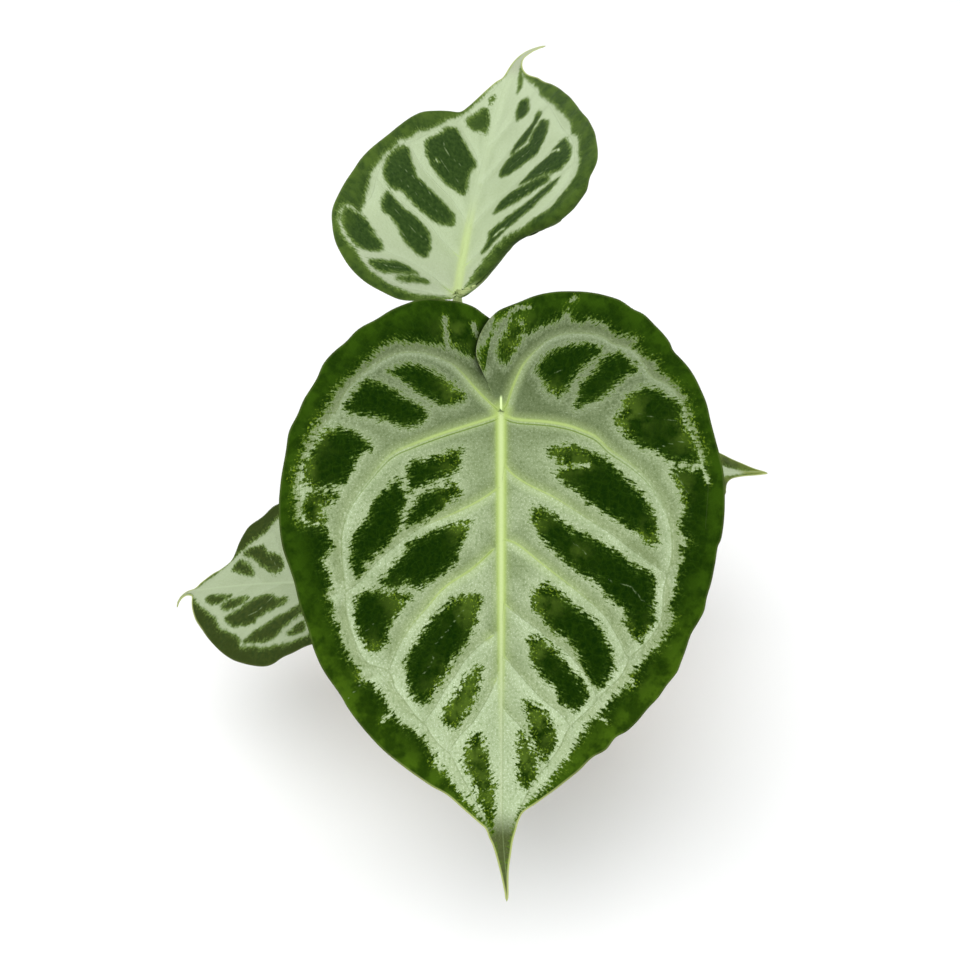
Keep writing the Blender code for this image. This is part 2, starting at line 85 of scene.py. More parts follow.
class Finish:
    # one material; its roughness and gloss go straight onto the shader's own sockets
    def __init__(self, name, roughness, gloss):
        self.material = bpy.data.materials.new(name)
        self.material.use_nodes = True
        self.tree = self.material.node_tree
        self.shader = self.tree.nodes["Principled BSDF"]
        self.shader.inputs["Roughness"].default_value = roughness
        self.shader.inputs["Specular IOR Level"].default_value = gloss

    def feed(self, socket, value):
        if isinstance(value, Wire):
            self.tree.links.new(value.socket, socket)
        elif isinstance(value, tuple) and len(value) == 3 and socket.type == "RGBA":
            socket.default_value = (*value, 1.0)
        else:
            socket.default_value = value

    def node(self, kind, settings=None, inputs=None, out=0):
        made = self.tree.nodes.new("ShaderNode" + kind)
        for key, value in (settings or {}).items():
            setattr(made, key, value)
        for key, value in (inputs or {}).items():
            self.feed(made.inputs[key], value)
        return Wire(self, made.outputs[out])

    def read(self, name, out="Fac"):
        return self.node("Attribute", {"attribute_name": name}, out=out)

    def scaled(self, place, stretch):
        return self.node("VectorMath", {"operation": "MULTIPLY"}, {0: place, 1: tuple(stretch)})

    def spot(self, stretch=(1.0, 1.0, 1.0)):
        # place on the piece in millimetres, stretched per axis
        return self.scaled(self.node("TexCoord", out="Object"), (axis / mm for axis in stretch))

    def cells(self, place, scale, feature="DISTANCE_TO_EDGE", out="Distance"):
        return self.node("TexVoronoi", {"feature": feature}, {"Vector": place, "Scale": scale}, out)

    def speckle(self, place, scale, detail=2.0, rough=0.5, warp=0.0):
        inputs = {"Vector": place, "Scale": scale, "Detail": detail, "Roughness": rough}
        return self.node("TexNoise", {}, {**inputs, "Distortion": warp})

    def blend(self, share, first, second, way="MIX"):
        settings = {"data_type": "RGBA", "blend_type": way, "clamp_factor": True}
        return self.node("Mix", settings, {0: share, 6: first, 7: second}, out=2)

    def dress(self, colour, roughness=None, height=None, depth=0.3):
        self.feed(self.shader.inputs["Base Color"], colour)
        if roughness is not None:
            self.feed(self.shader.inputs["Roughness"], roughness)
        if height is not None:
            bump = self.node("Bump", {}, {"Height": height, "Distance": depth * mm, "Strength": 1.0})
            self.feed(self.shader.inputs["Normal"], bump)
        return self.material


def through(points, count):
    # evenly spaced points of a smooth curve through the given ones
    given = np.array(points, float)
    padded = np.vstack([2.0 * given[0] - given[1], given, 2.0 * given[-1] - given[-2]])
    return resampled(curved(padded), count)


def ringThrough(points, count):
    # the same, closed on itself
    given = np.array(points, float)
    padded = np.vstack([given[-1], given, given[0], given[1]])
    return resampled(curved(padded), count)


def curved(padded):
    share = np.linspace(0.0, 1.0, 12, endpoint=False)[:, None]
    dense = []
    for p0, p1, p2, p3 in zip(padded, padded[1:], padded[2:], padded[3:]):
        a = 2.0 * p1
        b = p2 - p0
        c = 2.0 * p0 - 5.0 * p1 + 4.0 * p2 - p3
        d = 3.0 * p1 - p0 - 3.0 * p2 + p3
        dense.append(0.5 * (a + b * share + c * share**2 + d * share**3))
    return np.vstack(dense + [padded[-2:-1]])


def resampled(dense, count):
    run = np.concatenate([[0.0], np.cumsum(np.linalg.norm(np.diff(dense, axis=0), axis=1))])
    wanted = np.linspace(0.0, run[-1], count)
    return np.stack([np.interp(wanted, run, axis) for axis in dense.T], axis=1)


def smooth(value, low, high):
    share = np.clip((value - low) / (high - low), 0.0, 1.0)
    return share * share * (3.0 - 2.0 * share)


def addPiece(name, points, faces, finishes, stands=(), picks=None, fields=None):
    # a mesh piece in millimetres that moves with the plant and stands for the named solids
    mesh = bpy.data.meshes.new(name)
    corners = [tuple(int(corner) for corner in face) for face in faces]
    mesh.from_pydata((np.asarray(points) * mm).tolist(), [], corners)
    mesh.validate()
    for finish in finishes:
        mesh.materials.append(finish)
    mesh.polygons.foreach_set("use_smooth", [True] * len(mesh.polygons))
    if picks is not None:
        mesh.polygons.foreach_set("material_index", np.asarray(picks, dtype=np.int32))
    for key, values in (fields or {}).items():
        values = np.asarray(values, dtype=np.float32)
        kind = "FLOAT_VECTOR" if values.ndim == 2 else "FLOAT"
        layer = mesh.attributes.new(key, kind, "POINT")
        layer.data.foreach_set("vector" if values.ndim == 2 else "value", values.ravel())
    mesh.update()
    piece = bpy.data.objects.new(name, mesh)
    bpy.context.scene.collection.objects.link(piece)
    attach(piece, "root")
    if stands:
        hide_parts(*stands)
    return piece


# Studio: a pale floor, soft light from all round and the camera above the front.
# Each lamp has its place, the place it points at, its size and its power.
studio = {
    "floorSize": 9.0,
    "floorColour": (0.88, 0.88, 0.875),
    "skyColour": (0.96, 0.98, 1.0),
    "skyStrength": 0.78,
    "cameraPlace": (-0.008, -0.5157, 0.6458),
    "cameraTilt": 45.0,
    "lens": 52.0,
    "lamps": {
        "overhead": ((-0.25, -0.35, 1.75), (0.0, 0.0, 0.12), 1.5, 17.0),
        "frontFill": ((0.9, -1.5, 1.1), (0.0, 0.0, 0.15), 1.2, 7.0),
        "backFill": ((-0.5, 1.5, 1.4), (0.0, 0.0, 0.15), 1.2, 6.0),
    },
}


def makeStudio():
    scene = bpy.context.scene
    scene.view_settings.view_transform = "Standard"
    world = bpy.data.worlds.new("softSky")
    world.use_nodes = True
    background = world.node_tree.nodes["Background"]
    background.inputs["Color"].default_value = (*studio["skyColour"], 1.0)
    background.inputs["Strength"].default_value = studio["skyStrength"]
    scene.world = world
    half = studio["floorSize"] / 2.0
    mesh = bpy.data.meshes.new("floor")
    corners = [(-half, -half, 0.0), (half, -half, 0.0), (half, half, 0.0), (-half, half, 0.0)]
    mesh.from_pydata(corners, [], [(0, 1, 2, 3)])
    finish = Finish("paleFloor", roughness=0.9, gloss=0.1)
    mesh.materials.append(finish.dress(studio["floorColour"]))
    floor = bpy.data.objects.new("floor", mesh)
    scene.collection.objects.link(floor)
    for name, (place, aim, size, power) in studio["lamps"].items():
        light = bpy.data.lights.new(name, "AREA")
        light.shape = "DISK"
        light.size = size
        light.energy = power
        lamp = bpy.data.objects.new(name, light)
        lamp.location = place
        lamp.rotation_euler = (Vector(aim) - Vector(place)).to_track_quat("-Z", "Y").to_euler()
        scene.collection.objects.link(lamp)
    lens = bpy.data.cameras.new("camera")
    lens.lens = studio["lens"]
    camera = bpy.data.objects.new("camera", lens)
    camera.location = studio["cameraPlace"]
    camera.rotation_euler = (math.radians(studio["cameraTilt"]), 0.0, 0.0)
    scene.collection.objects.link(camera)
    scene.camera = camera
    print("studio ready")


makeStudio()

# Leaves. Flat places on a half blade are (along the midrib, out from it) in millimetres.
# silverEdge parts the silver from the dark margin, patches are the dark fields inside it, seams are
# silver lines (with their width) and mottles are spots of ragged edge (with radius and strength).
# veins have a line, their width at both ends, the length that is golden and how far off their crease is;
# the crease is a groove with a painted shadow line along it.
blade = {
    "thickness": 0.5,
    "fanShare": 0.38,
    "midribSteps": 48,
    "midribRounding": 8.0,
    "tipShare": 0.82,
    "hairWidth": 0.75,  # narrower seams are hairlines
    "seamSlope": 2.2,
    "noHair": 9.0,
    "veinHead": 12.0,  # each vein's line runs on this far behind its start
    "veinTail": (60.0, 150.0),  # and on by this from its end
    "farOff": 600.0,
    "flankShadingReach": 5.0,
    "lobeShade": 4.5,
}
# relief of the skins, in millimetres
relief = {
    "quiltReach": 6.0, "quiltMargin": 14.0, "fullVein": 0.5, "thinVeinGap": 4.0,
    "valley": 0.8, "valleyReach": 4.5, "ridge": 0.35, "ridgeReach": 1.4,
    "veinRidge": 0.22, "veinReach": 0.9,
    "keel": 1.6, "keelEnd": 0.25, "keelReach": 1.6, "keelTaper": 0.7, "veinKeel": 0.75,
    "rimThin": 0.55, "rimReach": 3.0, "rimBulge": 0.14,
    "waves": 4, "waveLength": (20.0, 52.0), "waveReach": 22.0, "waveStart": 30.0, "marginLength": 2.6,
}

frontLeaf = {
    "joint": (1.4, -55.8, 228.9), "length": 219.0, "heading": (-90.0, -90.0), "droop": (37.0, 54.0),
    "rise": {"right": 6.0, "left": 6.0}, "tipTurn": 2.0, "tipDroop": -12.0, "bends": {},
    "tipShift": (-2.2, 188.0, 27.0), "steps": 270, "rays": 68, "lobeLift": 4.0, "ripple": 0.7,
    "quilt": 1.7, "seed": 3, "midribWidth": (1.55, 0.6), "gold": 135.0, "soft": 1.0,
    "right": {
        "outline": [
            (-30, 0), (-40, 2.5), (-45, 8), (-48.6, 13.5), (-51, 24), (-51.4, 30), (-50, 39.5),
            (-45, 50.4), (-40, 58), (-35.5, 65), (-30, 70), (-24.5, 76), (-20, 79.4), (-13.5, 82),
            (-5, 87), (2.3, 90), (10, 93.6), (19, 95), (34, 97.2), (48, 97.6), (60, 96), (69, 93),
            (75.5, 90.8), (85.5, 88.3), (95, 85), (105, 82), (114.5, 77.6), (125, 70.4), (130.5, 67.2),
            (140, 60.4), (150, 51), (157, 43), (165, 32), (171, 23), (183, 10), (186, 6.8), (190, 5.4),
            (195, 3.6), (205, 1.8), (219, 0.4),
        ],
        "silverEdge": [
            (-20, 0), (-23, 8), (-26, 17), (-29, 22), (-30, 30), (-31, 40), (-31, 48), (-27, 55),
            (-24, 58), (-20, 62), (-16, 66), (-12, 70), (-8, 74), (-4, 75), (0, 77), (5, 80.5),
            (12, 84.5), (16, 86.5), (22, 88), (30, 90.5), (40, 90.5), (48, 89.5), (51, 85), (50, 79),
            (55, 76.5), (60, 74), (64, 76.5), (68, 78), (73, 75.5), (78, 75), (83, 77), (84, 74),
            (91, 74), (95, 71.5), (102, 69.5), (108, 67), (111, 65), (113, 62.5), (118, 61.5),
            (120, 56.5), (123, 53.5), (130, 50), (134, 46.5), (137, 44.5), (139, 42), (141, 38),
            (144, 35), (149, 31.5), (153, 30), (156, 29), (160, 24.5), (166, 21), (171, 17),
            (176, 12.5), (180, 9.5), (184, 7.2), (190, 5.0), (198, 2.6), (206, 1.4),
        ],
        "patches": [
            [(-21, 42), (-20, 35), (-16, 28), (-12, 22), (-8, 17), (-4, 18), (-2, 26), (-5, 32),
             (-8, 38), (-12, 43), (-15, 47), (-18, 50)],
            [(-13, 60), (-12, 54), (-8, 47), (-5, 42), (-1, 35), (1, 33), (5, 35), (8, 42), (6, 48),
             (4, 55), (3, 62), (2, 67), (0, 69.5), (-4, 68), (-10, 64)],
            [(8.5, 74), (8.5, 70), (11, 64), (15, 58.5), (18, 57.5), (19.5, 62), (24, 64.5), (31, 68),
             (34.5, 73), (35, 82), (32, 87), (24, 86), (15, 82), (11, 79)],
            [(37, 84), (37, 73), (39, 72), (44, 79), (47, 78), (50, 77), (51, 80), (49, 86), (43, 88)],
            [(17.5, 21), (17, 18), (19, 17.5), (27, 20), (31, 29), (36, 40), (34, 41.5), (26, 41.5),
             (22.5, 39), (22, 35), (19, 25)],
            [(33, 20), (34, 27), (38, 36), (43, 39.5), (51, 43), (50.5, 38), (46, 30), (40, 22),
             (37, 18.5)],
            [(30, 46), (35, 51), (42, 58), (46, 58.5), (55, 65), (66, 66.5), (73, 64), (72, 61),
             (67, 59), (60, 51), (54, 46), (50, 43.5), (46, 44.5), (42, 42.5), (38, 42), (34, 44.5)],
            [(50, 20), (49, 15), (52, 14), (60, 18), (68, 21), (73, 27), (78.5, 37), (76, 41.5),
             (78, 45), (78, 50), (75, 54), (72, 51), (64, 44), (58, 40), (54, 32)],
            [(79, 57), (80.5, 50), (80, 45), (82, 40), (86, 43), (92, 47.5), (97, 50), (103, 51),
             (106, 57), (103, 60), (97, 63), (90, 65), (83, 64), (80, 61)],
            [(82, 9), (81, 15), (84, 23), (88, 27), (92, 31), (97, 34), (103, 38.5), (109, 42),
             (117, 42), (124, 40), (128.5, 37), (129, 33), (124, 30), (117, 25), (110, 21.5),
             (104, 16.5), (98, 13), (90, 10.5)],
            [(112, 10), (118, 16), (125, 21), (131, 25), (137, 26), (140, 21), (136, 17), (130, 12.5),
             (121, 10)],
            [(142, 11), (148, 15.5), (156, 16.5), (160.5, 14), (166, 11.5), (172, 10.5), (178, 8),
             (188, 4), (182, 3.8), (174, 3), (166, 3.5), (157, 5), (150, 6.5), (144, 9)],
        ],
        "seams": [
            ([(-28, 24), (-36, 25), (-43, 25.5)], 1.1), ([(-40, 12.5), (-34, 11)], 0.9),
            ([(88, 17), (93, 21), (97, 24), (103, 29.5)], 0.5),
            ([(107, 30), (111, 31), (117, 35.5)], 0.5), ([(93, 56), (95, 57.5), (97, 60)], 0.3),
            ([(119, 61), (126, 67.5)], 0.5), ([(133, 49), (136.5, 53)], 0.9),
            ([(40, 77), (44, 78), (47, 77)], 0.7),
        ],
        "mottles": [
            (22, 24, 6, 0.8), (37, 21, 6, 0.8), (52, 17, 6, 0.9), (84, 46, 7, 0.6), (86, 16, 9, 0.8),
            (126, 17, 15, 1.0), (152, 12, 13, 1.0), (170, 7, 12, 1.1), (-10, 20, 7, 0.9),
            (28, 89, 9, 0.9), (8, 82, 9, 0.7), (44, 80, 7, 0.9), (104, 56, 6, 0.6), (154, 27, 8, 0.8),
            (-36, 20, 9, 0.6), (116, 62, 5, 0.6),
        ],
        "veins": [
            ([(0, 0.5), (-4, 5), (-10, 11), (-18, 18), (-22, 23), (-26, 34), (-26, 45),
              (-22, 54), (-15, 63), (-7, 70), (1, 73.5), (9, 80), (15, 83), (25, 88), (36, 89),
              (50, 87.5)], 0.9, 0.35, 34, 0.0),
            ([(1, 0.5), (3, 5), (6, 14), (10, 26), (15, 39), (20, 49), (30, 58), (40, 65.5), (50, 69.5),
              (60, 70.5), (78, 69), (90, 68), (100, 65), (110, 60), (113, 53), (114, 50), (118, 48),
              (122, 47), (126, 44), (130, 41), (135, 37.5), (138.5, 33.5), (143, 31), (148, 27),
              (152, 22.5), (161, 18), (170, 13), (180, 8.5), (190, 4)], 1.25, 0.35, 75, 1.7),
            ([(34, 1), (40, 10), (46, 22), (52, 36), (60, 47), (67, 55), (75, 62),
              (80, 68.5)], 0.8, 0.3, 46, 0.0),
            ([(61, 3), (70, 13), (78, 25), (87, 33), (95, 40), (105, 46),
              (114, 49.5)], 0.9, 0.5, 70, 0.0),
            ([(99, 3), (103, 9), (110, 16), (116, 20), (123, 25), (130, 29),
              (137, 34)], 0.6, 0.3, 6, 0.0),
            ([(118, 2), (125, 5), (132, 9), (138, 13), (143, 18), (149, 22.5)], 0.5, 0.3, 4, 0.0),
        ],
    },
    "left": {
        "outline": [
            (-19, -8.4), (-22.5, -10), (-26.5, -10.7), (-31, -10.1), (-35.5, -8.6), (-40, -6.2),
            (-43.5, -3.6), (-46.5, -0.4), (-48.7, 4), (-50.6, 9), (-52.8, 14.5), (-54.2, 20),
            (-54.8, 27), (-54.6, 36), (-53.5, 43), (-51.8, 49), (-49.8, 54), (-46, 59.2), (-43.2, 64.2),
            (-38, 69), (-34, 72.6), (-30, 75.4), (-26.5, 76.8), (-22.6, 80.2), (-19, 83), (-14, 86),
            (-8, 88.8), (-2, 91), (6, 92.6), (14, 94.4), (20, 96), (28, 97.6), (40, 98), (50, 97.4),
            (57, 96.2), (60.5, 94.6), (68, 93.4), (75, 92), (82, 89.8), (88, 88.6), (93, 85.9),
            (98, 83), (104, 81), (110, 78.6), (115, 76.6), (121, 72), (126, 68.5), (131, 64),
            (136, 59.8), (141, 55), (144, 50), (149, 46), (153, 40), (158, 35), (164, 28.5),
            (169.5, 21.3), (174, 15.8), (178, 10), (182, 7.8), (187, 6.4), (192, 4.9), (198, 3.6),
            (204, 2.2), (211, 1.2), (219, 0.4),
        ],
        "silverEdge": [
            (-18, -7), (-22, -9.5), (-26, -9.8), (-29, -8), (-33, -5), (-38, -3), (-42, -1), (-43, 2),
            (-42, 6), (-40, 9.5), (-35.5, 11), (-36, 15), (-38, 18), (-40, 23), (-42, 27), (-46, 30),
            (-43, 31), (-40, 35), (-41, 39), (-39, 46), (-35, 50.5), (-33, 55), (-32.5, 61), (-29, 60),
            (-26, 62), (-23, 65), (-22.5, 68.5), (-17, 70), (-13, 75.5), (-7, 80.5), (-1, 83), (5, 84),
            (11, 86), (16, 88), (24, 89.5), (27, 84), (26, 77), (29, 75), (33, 77), (37, 79), (45, 80),
            (52, 78), (56, 80), (59, 82.5), (60, 79), (66, 79), (70, 77.5), (76, 76.5), (84, 74.5),
            (88.5, 73.5), (91, 75.5), (96, 73), (102, 70), (106, 65.5), (110, 62), (116, 57),
            (119, 58.5), (122, 53.5), (127, 48), (133, 43.5), (137, 39), (143, 35.5), (149, 31.5),
            (155, 28), (160, 24), (166, 20), (172, 14), (177, 9), (184, 6.4), (192, 4.2), (200, 2.6),
            (208, 1.2),
        ],
        "patches": [
            [(-43, 8), (-38, 10.5), (-34, 10), (-30, 8), (-27, 5.5), (-23, 3.5), (-22, 1), (-24, -1),
             (-28, -1.5), (-32, -1), (-35, 1), (-38, 3), (-42, 4)],
            [(-19, 15.5), (-22, 18), (-25, 20), (-28, 24), (-29, 28), (-30.5, 36), (-30, 42),
             (-27.5, 45), (-23.5, 43), (-19.5, 37), (-15, 33.5), (-11, 30.5), (-6.5, 26), (-7, 24),
             (-10.5, 20), (-15, 18.5)],
            [(-1, 33), (-6, 34.5), (-11, 35), (-14, 38), (-19, 43), (-22, 44.5), (-25.5, 50.5),
             (-26, 54), (-22, 58), (-20, 60.5), (-17, 60.5), (-14, 54.5), (-9, 50), (-4, 42)],
            [(8, 53), (4, 51), (0, 54), (-5, 56), (-9, 61.5), (-10, 65), (-8, 71), (-2, 79.5), (5, 81),
             (12, 84), (17, 86.5), (24, 87), (24.5, 80), (23, 74), (20, 70), (17, 62), (13, 57)],
            [(16, 27), (15.5, 33), (18.5, 40), (21, 46), (26, 51), (31, 56), (36, 61), (42, 65),
             (49, 68), (55, 69), (59, 68.5), (60, 66), (56, 61), (52, 56), (48, 49), (43, 41.5),
             (40, 37), (36.5, 34), (33, 28.5), (28, 24.5), (23, 26), (20, 21.5), (17.5, 21)],
            [(43, 15), (44, 20), (48, 26), (52.5, 32), (55, 38), (59, 45), (63.5, 53), (69, 60),
             (72.5, 67), (81, 67.5), (88, 67), (92.5, 68), (97, 64), (102, 61), (99, 57.5), (93, 54),
             (88, 54.5), (82, 46), (78, 44), (74.5, 40), (71, 33), (66, 27), (60, 21), (53, 15),
             (47, 14)],
            [(77, 18), (78, 23), (82, 28), (87, 34), (93, 42), (100, 46), (108, 49.5), (116, 48.5),
             (122, 43), (117, 38), (110, 34.5), (104, 31.5), (100, 27.5), (96, 21.5), (91, 17.5),
             (86, 14), (81, 14)],
            [(100, 13), (102, 20), (107, 26), (113, 30), (119, 36), (126, 38), (130.5, 35.5), (132, 33),
             (129.5, 27), (123, 24), (118, 19), (112, 14), (105, 12.5)],
            [(127, 10), (129.5, 15), (133, 20), (139, 23), (146, 24), (153, 21), (154, 18.5), (148, 15),
             (142, 13), (134, 11.5)],
            [(141, 8.5), (146, 12.5), (152, 15.5), (160, 16.5), (166, 13), (168, 11), (163, 7.5),
             (153, 7.5)],
        ],
        "seams": [
            ([(-42, 2), (-47, 6), (-48, 13)], 0.9), ([(-50, 31.5), (-52, 34)], 0.9),
            ([(19, 67), (17, 71), (15.5, 76), (14.5, 82)], 0.6), ([(25.5, 78), (25, 88), (27, 89),
                                                                   (33, 91)], 0.8),
            ([(25.5, 25), (25, 32), (24.5, 39)], 0.8),
            ([(74, 47), (76.5, 50), (77, 56), (80, 59), (84, 62.5), (86, 66)], 0.55),
            ([(-18.5, 28), (-17, 24)], 0.2), ([(58, 31), (61, 35), (64, 38)], 0.3), ([(134, 43),
                                                                                      (137, 47)], 0.8),
            ([(2, 61), (4, 68), (6, 80)], 0.2), ([(28, 77), (34, 80), (38, 83)], 0.4),
        ],
        "mottles": [
            (2, 55, 10, 0.9), (10, 84, 9, 0.8), (-45, 6, 9, 0.9), (-31, 5, 6, 0.8), (57, 66, 8, 0.7),
            (20, 30, 9, 0.8), (83, 18, 9, 0.8), (103, 18, 8, 0.8), (136, 14, 9, 0.9), (146, 10, 8, 1.0),
            (118, 58, 6, 0.7), (36, 78, 8, 0.7), (98, 61, 7, 0.6), (48, 15, 7, 0.7), (24, 39, 5, 0.7),
            (-8, 22, 6, 0.7), (63, 34, 6, 0.5), (138, 17, 9, 1.0), (156, 12, 10, 1.1),
        ],
        "veins": [
            ([(0, 0.5), (-3, 2.5), (-7, 3.8), (-12.7, 5.9), (-21.3, 10), (-28, 15.9), (-33.8, 23.7),
              (-35.4, 34.4), (-33.8, 44.4), (-29.9, 50.9), (-26.6, 59.4), (-19.9, 63.7),
              (-14.5, 67.3), (-10.6, 74.4), (-2.7, 80.9), (5, 82), (12, 85), (20, 88), (30, 91),
              (53, 89.5)], 0.9, 0.35, 40, 0.0),
            ([(1, 0.5), (3, 5), (3.8, 9.4), (4.4, 16.6), (5.3, 23.7), (7, 31), (9.2, 36.6), (12, 42.3),
              (17.6, 48), (23.6, 56.6), (30.7, 64.4), (39.3, 70.1), (49.3, 74.1), (63.6, 75),
              (78, 71.5), (85.6, 70.9), (92.7, 70), (101.3, 64.4), (108, 57), (112, 55), (117, 52.3),
              (124.9, 44.4), (132, 38), (139.9, 30), (148.4, 25.9), (157, 20), (165, 14), (172, 10.5),
              (180, 6.8), (188, 4)], 1.25, 0.35, 80, 1.7),
            ([(23, 1), (28, 5), (32.9, 12.3), (38.6, 23.7), (46.4, 35.9), (54.3, 48), (62.9, 59.4),
              (71.4, 71.6)], 0.8, 0.3, 60, 0.0),
            ([(57, 1), (59.3, 7.3), (69.3, 20), (79.3, 33), (89, 44.4), (99, 50.9),
              (107.7, 55)], 0.8, 0.4, 60, 0.0),
            ([(85, 1), (90, 7), (99, 19.4), (108.4, 30.9), (118.4, 38.7), (126, 42)], 0.6, 0.3, 6, 0.0),
            ([(108, 1), (114, 6), (121, 12), (127, 18), (134, 26.6), (139, 30.5)], 0.5, 0.3, 4, 0.0),
            ([(133, 2), (140, 9), (146, 13), (152, 15.7), (160, 18)], 0.5, 0.3, 0, 0.0),
        ],
    },
}

